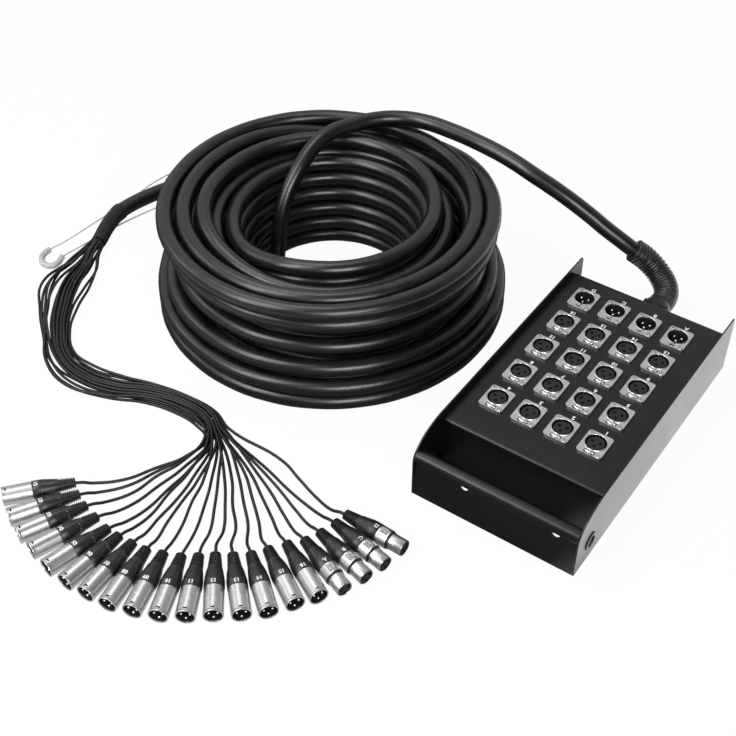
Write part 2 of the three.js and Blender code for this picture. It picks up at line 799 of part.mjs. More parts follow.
function addMulticoreEnds() {
  const section = polygon(multicoreDiameter / 2, multicoreDiameter / 2, multicoreSides);
  const front = frontRoute();
  const lead = new Stretch(front, protectorRoute.length - 1, front.length - 2);
  addNode('multicore_lead', tube(lead, section, leadSteps), 'jacket');
  const tail = new Stretch(backRoute(), 1, tailEnd);
  addNode('multicore_tail', tube(tail, section, tailEndSteps), 'jacket');
  const shrink = new Stretch(backRoute(), tailEnd, shrinkEnd);
  const radii = [];
  for (let step = 0; step <= bootShrinkSteps; step += 1) {
    const share = step / bootShrinkSteps;
    radii.push(THREE.MathUtils.lerp(bootShrinkStartDiameter, bootShrinkEndDiameter, share) / 2);
  }
  addNode('breakout_boot', ringedAlong(shrink, radii, bootShrinkSides), 'blackPlastic');
}

// Tails, joined where they are bundled

function plugDirection(headingDeg) {
  return new THREE.Vector3(Math.cos(degrees(headingDeg)), Math.sin(degrees(headingDeg)), 0);
}

function addTails() {
  const trunkCurve = new Stretch(backRoute(), shrinkEnd, trunkEnd);
  const trunk = tube(trunkCurve, polygon(trunkHeight / 2, trunkWidth / 2, trunkSides), trunkSteps);
  const solids = [solid(trunk)];
  const root = new THREE.Vector3(...trunkRoute[trunkRoute.length - 1]);
  const before = new THREE.Vector3(...trunkRoute[trunkRoute.length - 2]);
  const section = polygon(tailDiameter / 2, tailDiameter / 2, tailSides);
  for (const [, x, y, heading, near, far] of plugTable) {
    const way = plugDirection(heading);
    const exit = new THREE.Vector3(x, y, plugAxisHeight).addScaledVector(way, plugLength + seatGap);
    const beforeExit = exit.clone().addScaledVector(way, tailStraightShare * tailDiameter);
    beforeExit.setZ(plugAxisHeight - tailDiameter / 2);
    const points = [
      root.clone().lerp(before, tailRootShare), new THREE.Vector3(...near, tailDiameter),
      new THREE.Vector3(...far, tailFanHeightShare * tailDiameter), beforeExit, exit,
    ];
    const curve = new THREE.CatmullRomCurve3(points, false, 'centripetal');
    solids.push(solid(tube(curve, section, tailSteps)));
  }
  addNode('tail_cables', geometryOf(joined(solids)), 'tail');
}

// Cable plugs, each built along +Z from the cable end to the front face

function bootProfile() {
  return [
    [0, 0], [bootTipDiameter / 2, 0], [bootRibbedDiameter / 2, bootRibbedLength],
    [bootShoulderDiameter / 2, bootRibbedLength + bootShoulderLength],
    [ringDiameter / 2, bootLength], [ringDiameter / 2, bootLength + ringLength],
  ];
}

const shellStart = bootLength + ringLength;

// Plugs lie along a heading with their top side up: turns the build axis +Z to the heading's way
function placePlug(mesh, x, y, headingDeg) {
  const front = plugDirection(headingDeg).negate();
  const up = new THREE.Vector3(0, 0, 1);
  const side = new THREE.Vector3().crossVectors(up, front);
  const turn = new THREE.Matrix4().makeBasis(side, up, front);
  mesh.quaternion.setFromRotationMatrix(turn);
  mesh.position.set(x, y, plugAxisHeight).addScaledVector(front, -plugLength);
}

function malePlug() {
  const outer = plugShellDiameter / 2;
  const inner = outer - cupWall;
  const cupFloor = plugLength - cupDepth;
  let plug = solid(turned([
    ...bootProfile(), [outer, shellStart], [outer, plugLength], [inner, plugLength],
    [inner, cupFloor], [0, cupFloor],
  ], plugSides));
  for (const [x, y] of contactPlaces()) {
    const pin = bar(pinDiameter / 2, cupFloor - cutOverrun, cupFloor + pinLength, pinSides);
    plug = plug.add(solid(pin.translate(x, y, 0)));
  }
  const slotEnd = plugLength - latchSlotSetback;
  const slot = block(
    -latchSlotWidth / 2, latchSlotWidth / 2, inner - cupWall, outer + cutOverrun,
    slotEnd - latchSlotLength, slotEnd,
  );
  return geometryOf(plug.subtract(solid(slot)));
}

const buttonStart = shellStart + (rearShellLength - buttonLength) / 2;

function femalePlug() {
  const outer = plugShellDiameter / 2;
  const gapStart = shellStart + rearShellLength;
  const barrelStart = gapStart + shadowGapLength;
  let plug = solid(turned([
    ...bootProfile(), [outer, shellStart], [outer, gapStart], [shadowGapDiameter / 2, gapStart],
    [shadowGapDiameter / 2, barrelStart], [barrelDiameter / 2, barrelStart],
    [barrelDiameter / 2, plugLength], [0, plugLength],
  ], plugSides));
  for (const [x, y] of contactPlaces()) {
    const drill = bar(
      contactHoleDiameter / 2, plugLength - contactHoleDepth, plugLength + cutOverrun, pinSides,
    );
    plug = plug.subtract(solid(drill.translate(x, y, 0)));
  }
  const pocketFloor = outer - buttonSeat - buttonTravel - buttonClearance;
  const pocket = block(
    -buttonWidth / 2 - buttonClearance, buttonWidth / 2 + buttonClearance,
    pocketFloor, outer + cutOverrun,
    buttonStart - buttonClearance, buttonStart + buttonLength + buttonClearance,
  );
  return geometryOf(plug.subtract(solid(pocket)));
}

function latchButton() {
  const outer = plugShellDiameter / 2;
  const shape = clippedRectangle(buttonWidth, buttonLength, buttonCorner);
  const pad = upright(shape, outer - buttonSeat, outer + buttonStand);
  pad.rotateX(-Math.PI / 2).translate(0, 0, buttonStart + buttonLength / 2);
  return geometryOf(solid(pad));
}

function addPlugs() {
  const male = malePlug();
  const female = femalePlug();
  const button = latchButton();
  for (const [name, x, y, heading] of plugTable) {
    if (/[0-9]/.test(name)) {
      placePlug(addNode(`plug_${name}`, male.clone(), 'nickel'), x, y, heading);
    } else {
      placePlug(addNode(`plug_${name}`, female.clone(), 'nickel'), x, y, heading);
      placePlug(addNode(`plug_latch_${name}`, button.clone(), 'nickel'), x, y, heading);
    }
  }
}

// Pulling loop of wire, its clear sleeve, and the loom inside the box

// The wire and the sleeve share the points of their rings, two to each span of the route
function addPullingLoop() {
  const along = curveThrough(wireRoute).getPoints(2 * (wireRoute.length - 1));
  const tubeOf = (points, diameter, sides) => ringedTube(points, points.map(() => diameter / 2), sides);
  addNode('pulling_loop', tubeOf(along, wireDiameter, wireSides), 'wire');
  const outside = tubeOf(along.slice(2 * sleeveFirst, 2 * sleeveLast + 1), sleeveDiameter, sleeveSides);
  const bore = tubeOf(along.slice(2 * sleeveFirst - 1, 2 * sleeveLast + 2), sleeveBore, wireSides);
  addNode('loop_sleeve', geometryOf(solid(outside).subtract(solid(bore))), 'clear');
}

function addLoom() {
  const section = polygon(loomDiameter / 2, loomDiameter / 2, loomSides);
  const route = [[glandX, rearWallY - glandInsideLength - 2 * seatGap, glandHeight]];
  for (const [x, share, height] of loomShares) {
    route.push([x, rearWallY - share * (rearWallY - recessY), height]);
  }
  addNode('wiring_loom', tube(curveThrough(route), section, loomSteps), 'tail');
}

addPan();
addHandle();
addPanel();
addMaleConnectors();
addPushTabs();
addGland();
addProtector();
addMulticoreEnds();
addCoil();
addTails();
addPlugs();
addPullingLoop();
addLoom();

export default part;
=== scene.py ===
# %% [markdown]
# # A stage box snake on the floor
# A stage box is a small steel case full of cable connectors. One thick multicore cable leaves it,
# lies in a big coil and splits at its far end into twenty thin tails, each with its own plug.
# We start from a fixed frame of plain solids with the real sizes, and dress every one of them.

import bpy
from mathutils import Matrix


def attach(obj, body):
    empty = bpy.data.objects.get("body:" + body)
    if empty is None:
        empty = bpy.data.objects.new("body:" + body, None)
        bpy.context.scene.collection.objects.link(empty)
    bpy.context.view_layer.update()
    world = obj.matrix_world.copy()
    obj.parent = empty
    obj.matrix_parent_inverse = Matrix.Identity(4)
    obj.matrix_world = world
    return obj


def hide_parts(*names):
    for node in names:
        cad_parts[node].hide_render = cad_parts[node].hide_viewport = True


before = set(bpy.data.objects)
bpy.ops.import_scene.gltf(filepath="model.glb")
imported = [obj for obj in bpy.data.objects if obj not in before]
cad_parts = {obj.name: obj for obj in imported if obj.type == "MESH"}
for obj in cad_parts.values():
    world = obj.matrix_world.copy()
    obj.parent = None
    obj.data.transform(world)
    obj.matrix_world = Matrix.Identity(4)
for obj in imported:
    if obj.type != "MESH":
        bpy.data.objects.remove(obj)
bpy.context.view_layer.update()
print("plain solids:", len(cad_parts))

# %% [markdown]
# ## Millimetres
# Everything on this object is smaller than a metre, so the sizes below are written in
# millimetres. One function turns them into Blender's metres, and nothing else has to remember it.

# %% Tools of the workshop
import math
import random

import bmesh
import bpy
from mathutils import Matrix, Vector, geometry

MM = 0.001
BOX = "stage_box"


def mm(*values):
    """A point or a way in millimetres, as a vector in metres."""
    return Vector(values) * MM


def finish(name):
    """The material of that name. It is made empty here, and a later cell fills it in."""
    return bpy.data.materials.get(name) or bpy.data.materials.new(name)


def show(name, data, finishes=(), body=BOX, replaces=()):
    """Puts a mesh or a curve into the scene as a piece that rides on a body.

    Copies share one mesh, so its finishes are given only once.
    """
    piece = bpy.data.objects.new(name, data)
    bpy.context.scene.collection.objects.link(piece)
    for each in finishes if not data.materials else ():
        data.materials.append(finish(each))
    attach(piece, body)
    if replaces:
        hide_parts(*replaces)
    return piece


def upright_turn(degrees):
    """A turn about the upright axis."""
    return Matrix.Rotation(math.radians(degrees), 4, "Z")


def level_way(heading_deg):
    """The level way of a heading, counted from the box's right side."""
    return Vector((math.cos(math.radians(heading_deg)), math.sin(math.radians(heading_deg)), 0))


def bell(distance, width):
    """1 in the middle, falling away smoothly to both sides."""
    return math.exp(-(distance / width) ** 2)


print("pieces will ride on:", BOX)

# %% [markdown]
# ## The camera
# The photograph was taken from the front right and from above. The place, the angles and the lens
# were found by fitting a camera to the corners of the steel box and to the grid of connectors.

# %% Camera
CAMERA_PLACE = (349.55, -878.4, 966.4)
CAMERA_TURN_DEG = 34.71
CAMERA_DOWN_DEG = 43.77
LENS = 63.306
FILM_WIDTH = 36

camera_data = bpy.data.cameras.new("camera")
camera_data.sensor_width = FILM_WIDTH
camera_data.lens = LENS
camera_data.clip_start = 0.05
camera = bpy.data.objects.new("camera", camera_data)
bpy.context.scene.collection.objects.link(camera)
camera.location = mm(*CAMERA_PLACE)
camera.rotation_euler = (math.radians(90 - CAMERA_DOWN_DEG), 0, math.radians(CAMERA_TURN_DEG))
bpy.context.scene.camera = camera
print("camera at", [round(v, 3) for v in camera.location])

# %% [markdown]
# ## Cords as curves
# A cable is a fixed length of something flexible, so it is drawn as one Bezier line with a round
# bevel. Automatic handles keep the line smooth through the listed points.


# %% Draw a cord
def cord_curve(name, points, diameter, smoothness=5, roundness=4):
    """One open spline through points in millimetres, as thick as the cord."""
    curve = bpy.data.curves.new(name, "CURVE")
    curve.dimensions = "3D"
    curve.bevel_depth = diameter * MM / 2
    curve.bevel_resolution = roundness
    curve.resolution_u = smoothness
    curve.use_fill_caps = True
    spline = curve.splines.new("BEZIER")
    spline.bezier_points.add(len(points) - 1)
    for bezier_point, point in zip(spline.bezier_points, points):
        bezier_point.co = mm(*point)
        bezier_point.handle_left_type = bezier_point.handle_right_type = "AUTO"
    return curve


def length_of(curve):
    """The real length of a curve's only spline, in metres."""
    return curve.splines[0].calc_length()


# %% [markdown]
# ## The coil
# The multicore comes down into the middle of the coil and is laid in columns: up the inner wall,
# back down beside it, to and fro through the hidden middle, and up again to the top. There it winds
# outwards, drops down the outside where nobody looks, and makes the widest turns on the floor.
# A table holds the angle, the radius and the layer at which the cord changes its place, and every
# change takes about a fifth of a turn, as it does when a person lays a cable by hand.

# %% The way of the coil
MULTICORE = 18
COIL_CENTRE = (-331, 33)
LAYER_PITCH = 19
LOWEST = 9.3
CHANGE = 76
POINT_EVERY = 15

coil_rows = [(-3, 96, 0)]


def hold_then(at, radius, layer, over=CHANGE):
    """The cord keeps its place up to an angle, and then moves smoothly to a new radius and layer."""
    _, old_radius, old_layer = coil_rows[-1]
    if at > coil_rows[-1][0]:
        coil_rows.append((at, old_radius, old_layer))
    for share in (0.25, 0.5, 0.75, 1):
        ease = share * share * (3 - 2 * share)
        coil_rows.append((at + over * share, old_radius + (radius - old_radius) * ease,
                          old_layer + (layer - old_layer) * ease))


for layer, radius in enumerate((96, 97.5, 101, 104, 107, 111)):
    hold_then(224 + 360 * layer, radius, layer + 1)
coil_rows += [(2195, 113, 6), (2375, 138, 6)]
for layer, radius in enumerate((127, 124, 121, 116, 114.2, 114.2)):
    hold_then(2375 + 360 * layer, radius, 5 - layer)
for at, radius, layer in (
    (4455, 132.4, 0), (4735, 132.4, 1), (5095, 134.4, 2), (5375, 153, 2), (5655, 150.6, 1),
    (6015, 150.6, 0), (6295, 168.8, 0), (6575, 168.8, 1), (6935, 171.3, 2), (7011, 178, 2),
    (7295, 165, 3),
    (7655, 152, 4), (8015, 152, 5), (8375, 158, 6),
):
    hold_then(at, radius, layer)
coil_rows += [
    (8495, 159.5, 6), (8580, 158, 6), (8640, 157.5, 6), (8675, 157.5, 6), (8727, 162, 6), (8777, 173, 6),
    (8811, 177.5, 6), (8855, 180, 6), (8940, 178.5, 6), (9000, 176, 6), (9035, 176, 6),
]
hold_then(9035, 174, 5)
coil_rows += [
    (9395, 174, 5), (9435, 178, 4.3), (9465, 181, 3.7), (9497, 188, 3), (9523, 198, 2), (9545, 194, 1.4),
    (9575, 187, 1),
]
hold_then(9845, 187, 0, over=70)
coil_rows.append((10185, 187, 0))


def coil_point(turned_deg):
    """Where the middle of the cord is after it has turned so far."""
    for (before, radius_a, layer_a), (after, radius_b, layer_b) in zip(coil_rows, coil_rows[1:]):
        if turned_deg <= after:
            break
    share = (turned_deg - before) / (after - before)
    radius = radius_a + (radius_b - radius_a) * share
    angle = math.radians(turned_deg)
    return (COIL_CENTRE[0] + radius * math.cos(angle), COIL_CENTRE[1] + radius * math.sin(angle),
            LOWEST + LAYER_PITCH * (layer_a + (layer_b - layer_a) * share))


coil_turn = coil_rows[-1][0] - coil_rows[0][0]
coil_steps = round(coil_turn / POINT_EVERY)
coil_points = [coil_point(coil_rows[0][0] + coil_turn * i / coil_steps) for i in range(coil_steps + 1)]
print("turns in the coil:", round(coil_turn / 360, 1))

# %% [markdown]
# ## The multicore from end to end
# The cord leaves the gland straight, bends up through the protector, arches over the coil, falls
# into its middle and starts the first turn. After the last turn it runs back to the breakout.
# It is one unbroken curve, because the real one is one cable.

# %% Multicore
PROTECTOR_WAY = [
    (3, 182.2, 38), (3, 194, 38), (-0.5, 205, 39.5), (-8, 214, 42.5), (-18, 219.5, 47.5),
    (-28, 221, 54), (-38, 219, 61.5), (-49, 213.5, 70),
]
LEAD_WAY = [
    (-64, 209, 80), (-83, 205, 91), (-101, 202, 102), (-138, 197, 120.5), (-170, 195, 131.5),
    (-203.5, 197, 139), (-240, 198.5, 143.5), (-287, 202, 143.5), (-320, 200.5, 143),
    (-348.5, 190, 142.7),
    (-370, 171, 142.7), (-385, 147, 142.5), (-396, 124, 141.5), (-400, 101, 137), (-401, 78, 127),
    (-402, 61, 114), (-403, 47, 98), (-403, 37, 80), (-402, 30, 60), (-399, 22, 40),
    (-393, 8, 22), (-378, -14, 11), (-354, -34, 9.3), (-322, -41, 9.3), (-290, -33, 9.3),
    (-263, -13, 9.3), (-244.5, 3, 9.3),
]
TAIL_WAY = [
    (-396.8, 209, 9.3), (-440, 199, 9.3), (-490, 181, 9.4), (-537, 158, 9.6), (-578, 118, 10),
    (-602, 78, 10.6), (-616, 40, 11.6), (-623, -2, 12.5), (-622, -14, 12.6),
]
multicore_curve = cord_curve("multicore", PROTECTOR_WAY + LEAD_WAY + coil_points + TAIL_WAY,
                             MULTICORE, smoothness=4, roundness=6)
multicore = show("multicore", multicore_curve, ["cable jacket"],
                 replaces=["multicore_lead", "coil_winding", "coil_core", "multicore_tail"])
print("multicore length in metres:", round(length_of(multicore_curve), 2))

# %% [markdown]
# ## Twenty tails
# Behind the breakout boot the twenty thin cables run together as a flat bundle, three deep, and
# then fan out. Each tail keeps its place in the bundle, wanders a little, and a few stray ones bow
# out to the side. The table gives every plug's place and heading, as the photograph shows them.

# %% Table of plugs
TAIL = 3.2
PLUG_AXIS = 10
PLUG_LENGTH = 70
BOOT_END = (-606, -62, 9.5)
TRUNK_WAY = [
    BOOT_END, (-602, -79, 8.2), (-595, -100, 7), (-588, -135, 6.5), (-568, -171, 6.5),
    (-537, -205, 6.5), (-503, -227, 6.5), (-468, -233, 6.5), (-426, -227, 6.5), (-391, -214, 6.5),
    (-352, -208, 6.5), (-318, -211, 6.5), (-296, -222, 6.5),
]
# name, front face x and y, heading of the cable end, and two points of the tail in the fan
PLUG_ROWS = [
    ("01", -407, -407, 49.8, (-300, -262), (-330, -318)),
    ("02", -383.4, -422.4, 59.6, (-300, -268), (-322, -322)),
    ("03", -361.1, -432.1, 65.7, (-296, -272), (-312, -326)),
    ("04", -337.3, -438.7, 70.8, (-292, -276), (-302, -336)),
    ("05", -310.9, -445.3, 77.6, (-284, -276), (-287, -334)),
    ("06", -285.2, -447.3, 86.9, (-281, -280), (-279, -338)),
    ("07", -260.9, -446.2, 93.8, (-275, -282), (-270, -338)),
    ("08", -236.5, -443.6, 101, (-268, -282), (-260, -336)),
    ("09", -213.4, -436.4, 107, (-262, -280), (-246, -330)),
    ("10", -190.8, -427, 113, (-256, -276), (-232, -326)),
    ("11", -170.2, -413.8, 120, (-250, -272), (-219, -322)),
    ("12", -150.4, -398.7, 127.8, (-246, -266), (-209, -314)),
    ("13", -130, -383.5, 135.6, (-242, -260), (-201, -305)),
    ("14", -112.1, -367.3, 141.8, (-238, -254), (-194, -295)),
    ("15", -97.8, -346.7, 149, (-234, -249), (-188, -286)),
    ("16", -85.1, -328.1, 152.5, (-230, -244), (-182, -274)),
    ("A", -70.8, -308.3, 158.8, (-226, -240), (-176, -264)),
    ("B", -62.4, -286.1, 164.4, (-222, -236), (-168, -254)),
    ("C", -56.4, -263.9, 168.6, (-218, -230), (-162, -243)),
    ("D", -52.2, -238.4, 178, (-214, -213), (-160, -230)),
]
# name: how far a stray tail bows to the left, and at which point of the bundle
STRAYS = {
    "01": ((-20, 2.9), (-8, 6.6)), "02": ((-14, 3.3), (-5, 7)), "03": ((-8, 3), (-11, 6.9)),
    "04": ((-16, 2.3), (-6, 5.6)), "06": ((-6, 4),), "13": ((-7, 8.6),), "16": ((8, 7),),
    "C": ((6, 2.7), (9, 8.4)), "D": ((10, 3.1), (6, 7.6)),
}
print("tails that bow out of the bundle:", len(STRAYS))


# %% [markdown]
# ## How the tails lie
# In the boot the tails are a round bunch, and outside it they settle into columns of three. Each one
# gets a place in both, and moves from one to the other over the first three points of the bundle.
# Small waves are added, because no real cable lies quite straight.

# %% Places in the bundle
BUNCH_PITCH = 3.15
COLUMN_PITCH = 3.5
LAYER_STEP = 3
STAGGER = 1.6
BUNDLE_DROP = 4.9


def round_place(index):
    """Place in the round bunch inside the boot: one in the middle, a ring of six, a ring of thirteen."""
    if index == 0:
        return 0, 0
    ring, first, count = (1, 1, 6) if index < 7 else (2, 7, 13)
    angle = 2 * math.pi * (index - first) / count
    return ring * BUNCH_PITCH * math.cos(angle), ring * BUNCH_PITCH * math.sin(angle)


def flat_place(index):
    """Place in the flat bundle: columns of three, from the right side to the left."""
    column, layer = divmod(index, 3)
    return (column - 3) * COLUMN_PITCH + (layer % 2) * STAGGER, layer * LAYER_STEP - BUNDLE_DROP


def side_of(points, i):
    """The level way to the left of a row of points at one of them."""
    before, after = Vector(points[max(i - 1, 0)]), Vector(points[min(i + 1, len(points) - 1)])
    return Vector((before.y - after.y, after.x - before.x, 0)).normalized()


by_side = sorted(range(len(PLUG_ROWS)), key=lambda i: round_place(i)[0])
print("order across the boot:", by_side)

# %% Course of every tail
SWAYS = (3.2, -3.8, 4.4)
SWINGS = (0.55, 0.75, 0.95)
FAN_STEP = 1.9
INTO_PLUG = 16
chance = random.Random(7)


def along_trunk(index, name):
    """Points of a tail in the bundle, which swells a little behind the boot."""
    layer = index % 3
    bunch_x, bunch_y = round_place(by_side[index])
    flat_x, flat_y = flat_place(index)
    wander, phase = chance.uniform(0.4, 1.1), chance.uniform(0, 6.3)
    sway = SWAYS[layer] * chance.uniform(0.85, 1.15)
    points = []
    for i, place in enumerate(TRUNK_WAY):
        ease = min(i / 3, 1)
        loose = flat_x * (1 + 0.2 * bell(i - 3.4, 2.2))
        out = bunch_x + (loose - bunch_x) * ease + wander * ease * math.sin(phase + 1.3 * i)
        out += sum(stray * bell(i - stray_at, 1.3) for stray, stray_at in STRAYS.get(name, ()))
        out += sway * ease * math.sin(SWINGS[layer] * i + 2 * layer)
        up = bunch_y + (flat_y - bunch_y) * ease
        point = Vector(place) + side_of(TRUNK_WAY, i) * out + Vector((0, 0, up))
        points.append((point.x, point.y, max(point.z, TAIL / 2 + 0.3)))
    return points


def across_fan(index, x, y, heading, near, far):
    """Points of a tail from the bundle to the inside of its plug, one layer over another."""
    height = TAIL / 2 + 0.1 + (index % 3) * FAN_STEP
    way = level_way(heading)
    plug_end = Vector((x, y, PLUG_AXIS)) + way * PLUG_LENGTH
    low, close = plug_end + way * 16, plug_end + way * 5
    middle = (Vector((*near, 0)) + Vector((*far, 0))) / 2
    bow = chance.uniform(-1.5, 1.5)
    return [(*near, height + 2), (middle.x + bow, middle.y + bow / 2, height), (*far, TAIL / 2 + 0.5),
            (low.x, low.y, 4.4), (close.x, close.y, PLUG_AXIS - 1.4), tuple(plug_end - way * INTO_PLUG)]


for index, (name, *rest) in enumerate(PLUG_ROWS):
    points = along_trunk(index, name) + across_fan(index, *rest)
    curve = cord_curve(f"tail_{name}", points, TAIL, smoothness=8, roundness=2)
    show(f"tail_{name}", curve, ["tail jacket"],
                       replaces=["tail_cables"])

# %% [markdown]
# ## Turning, cutting out and wrapping
# Nearly all hard pieces here are made in one of two ways. Round ones come from a lathe, so a profile
# of radius and height is turned about an axis. Flat ones are cut from sheet, so an outline with
# holes gets a thickness. Grip pads and numbers are cut flat first and then wrapped round a plug.

# %% Outlines
def circle(radius, sides=32, middle=(0, 0)):
    """Points of a circle."""
    return [(middle[0] + radius * math.cos(2 * math.pi * (i + 0.5) / sides),
             middle[1] + radius * math.sin(2 * math.pi * (i + 0.5) / sides)) for i in range(sides)]


def arc(middle, radius_x, radius_y, start_deg, end_deg, steps):
    """Points on a part of an ellipse."""
    angles = [math.radians(start_deg + (end_deg - start_deg) * i / steps) for i in range(steps + 1)]
    return [(middle[0] + radius_x * math.cos(angle), middle[1] + radius_y * math.sin(angle))
            for angle in angles]


def rounded(width, length, corner, middle=(0, 0), steps=5):
    """Points of a rectangle with round corners."""
    points = []
    for quarter, (side_x, side_y) in enumerate(((1, -1), (1, 1), (-1, 1), (-1, -1))):
        for i in range(steps + 1):
            angle = math.radians(90 * (quarter - 1) + 90 * i / steps)
            points.append((middle[0] + side_x * (width / 2 - corner) + corner * math.cos(angle),
                           middle[1] + side_y * (length / 2 - corner) + corner * math.sin(angle)))
    return points


print("points of a rounded plate:", len(rounded(26, 31, 3)))


# %% Lathe
def turned(bm, profile, sides, look=0, middle=(0, 0), closed=False):
    """Turns (radius, height) pairs about the upright axis through the middle."""
    rings = []
    for radius, height in profile:
        outline = circle(radius, sides, middle) if radius else [middle]
        rings.append([bm.verts.new((x, y, height)) for x, y in outline])
    if closed:
        rings.append(rings[0])
    for low, high in zip(rings, rings[1:]):
        for i in range(sides):
            j = (i + 1) % sides
            corners = [low[i % len(low)], low[j % len(low)], high[j % len(high)], high[i % len(high)]]
            face = bm.faces.new(list(dict.fromkeys(corners)))
            face.material_index = look


# %% Sheet cutter
def flat_faces(bm, loops, height, look=0):
    """An outline with holes, filled at one height. Gives back its vertices, loop by loop."""
    flat = [[Vector((x, y, 0)) for x, y in loop] for loop in loops]
    verts = [[bm.verts.new((x, y, height)) for x, y in loop] for loop in loops]
    every = [vert for loop in verts for vert in loop]
    for triangle in geometry.tessellate_polygon(flat):
        bm.faces.new([every[i] for i in triangle]).material_index = look
    return verts


def plate(bm, loops, low, high, look=0):
    """A flat plate between two heights. The first loop is its outline, and the others are holes."""
    bottom = flat_faces(bm, loops, low, look)
    top = flat_faces(bm, loops, high, look)
    for low_loop, high_loop in zip(bottom, top):
        for i in range(len(low_loop)):
            j = (i + 1) % len(low_loop)
            bm.faces.new([low_loop[i], low_loop[j], high_loop[j], high_loop[i]]).material_index = look


def added(bm, before):
    """The vertices of a mesh after the first so many."""
    bm.verts.ensure_lookup_table()
    return bm.verts[before:]


# %% Wrapping, smoothing and softening
def wrap(verts, radius_at):
    """Bends flat pieces round the upright axis: x runs round it, y up it, and z out of it."""
    for vert in verts:
        x, y, z = vert.co
        radius = radius_at(y)
        angle = x / radius
        vert.co = (-(radius + z) * math.sin(angle), (radius + z) * math.cos(angle), y)


def made(bm, name, smooth_deg=34):
    """The finished mesh in metres, with faces out and smooth up to an angle."""
    bmesh.ops.recalc_face_normals(bm, faces=bm.faces)
    bmesh.ops.scale(bm, vec=(MM, MM, MM), verts=bm.verts)
    mesh = bpy.data.meshes.new(name)
    bm.to_mesh(mesh)
    bm.free()
    mesh.shade_smooth()
    mesh.set_sharp_from_angle(angle=math.radians(smooth_deg))
    return mesh


def soften(piece, width, steps=2):
    """Rounds the sharp edges of a piece a little, as every real edge is, so that they catch light."""
    bevel = piece.modifiers.new("soft edges", "BEVEL")
    bevel.width = width * MM
    bevel.segments = steps
    bevel.limit_method = "ANGLE"
    bevel.angle_limit = math.radians(40)
    bevel.harden_normals = True


# %% Figures
CAPITAL_SHARE = 0.7
STROKE_SHARE = 0.045
INK = 0.06


def letters(bm, text, height, turn_deg=0, middle=(0, 0), align="CENTER"):
    """Flat figures of that height, put at a point. Gives back their vertices."""
    words = bpy.data.curves.new("figures", "FONT")
    words.body = text
    words.size = height / CAPITAL_SHARE
    words.align_x = align
    words.align_y = "CENTER"
    words.extrude = INK / 2
    words.offset = STROKE_SHARE * height
    words.resolution_u = 3
    holder = bpy.data.objects.new("figures", words)
    mesh = bpy.data.meshes.new_from_object(holder)
    before = len(bm.verts)
    bm.from_mesh(mesh)
    fresh = added(bm, before)
    bmesh.ops.transform(bm, matrix=Matrix.Translation((*middle, 0)) @ upright_turn(turn_deg), verts=fresh)
    bpy.data.objects.remove(holder)
    return fresh


# %% [markdown]
# ## The pan of the steel box
# The pan is a sheet bent up into two cheeks, with a floor between them. The front of each cheek
# falls away in a quarter of an ellipse. The outline is drawn once and cut from sheet for both sides,
# and then the edges are softened, because bare sheet edges catch the light in the photograph.

# %% Pan with its cheeks
SHEET = 1.5
HALF_WIDTH = 89.5
FRONT = -170
REAR = 170
CHEEK = 72
PANEL_TOP = 62
RECESS = -119
PAN_LIP = 2.5
REAR_WALL = 152
INSIDE = HALF_WIDTH - SHEET - 0.3
CORNER = 5
NOSE = 50
NOSE_FALL = 28
CHEEK_HOLE = (-142, 23.5)

cheek_outline = [(FRONT, 0), (REAR, 0),
                 *arc((REAR - CORNER, CHEEK - CORNER), CORNER, CORNER, 0, 90, 8),
                 *arc((FRONT + NOSE, CHEEK - NOSE_FALL), NOSE, NOSE_FALL, 90, 180, 28)]
cheek_hole = circle(8, 40, CHEEK_HOLE)
pan = bmesh.new()
for side in (-HALF_WIDTH, HALF_WIDTH - SHEET):
    before = len(pan.verts)
    plate(pan, [cheek_outline, cheek_hole], 0, SHEET)
    upright = Matrix(((0, 0, 1, side), (1, 0, 0, 0), (0, 1, 0, 0), (0, 0, 0, 1)))
    bmesh.ops.transform(pan, matrix=upright, verts=added(pan, before))
between_cheeks = HALF_WIDTH - SHEET
plate(pan, [[(-between_cheeks, RECESS - PAN_LIP), (between_cheeks, RECESS - PAN_LIP),
             (between_cheeks, REAR_WALL), (-between_cheeks, REAR_WALL)]], 0, SHEET)
pan_piece = show("pan", made(pan, "pan"), ["black paint"], replaces=["base_pan"])
soften(pan_piece, 0.4, 3)
print("pan cheeks", CHEEK, "mm high")


# %% [markdown]
# ## Grommets
# Both cheeks have a round hole near the handle, with a black rubber ring that keeps a rope or a strap
# from fraying on the sheet. The ring is turned, with a groove that the sheet sits in.

# %% Grommets
grommet = bmesh.new()
turned(grommet, [(6.4, -3.6), (7, -4), (9.4, -3.8), (9.8, -3.2), (9.6, -1.6), (8, -1.5), (8, 0),
                 (9.6, 0.1), (9.8, 0.9), (9.3, 1.3), (7.2, 1.4), (6.4, 0.9)], 40, closed=True)
grommet_mesh = made(grommet, "grommet", 50)
for name, side in (("left", -1), ("right", 1)):
    grommet_piece = show(f"grommet_{name}", grommet_mesh, ["soft rubber"])
    grommet_piece.matrix_world = (Matrix.Translation(mm(side * HALF_WIDTH, *CHEEK_HOLE))
                                  @ Matrix.Rotation(math.radians(90 * side), 4, "Y"))
print("grommets in holes", CHEEK_HOLE[1], "mm above the floor")

# %% [markdown]
# ## Bent sheet with thickness
# The panel and the handle are folded from one sheet. Only the outer skin is drawn here: flat faces
# with their holes, joined by bends of several strips. A Solidify modifier then grows the metal
# inwards. Booleans could cut the holes as well, but filled outlines keep the mesh clean.

# %% Folded skins
def folded(bm, line, left_out=()):
    """A skin that follows a line of (y, z) points across the box, except in the spans left out."""
    for i, (a, b) in enumerate(zip(line, line[1:])):
        if i not in left_out:
            corners = ((-INSIDE, a), (INSIDE, a), (INSIDE, b), (-INSIDE, b))
            bm.faces.new([bm.verts.new((x, y, z)) for x, (y, z) in corners])


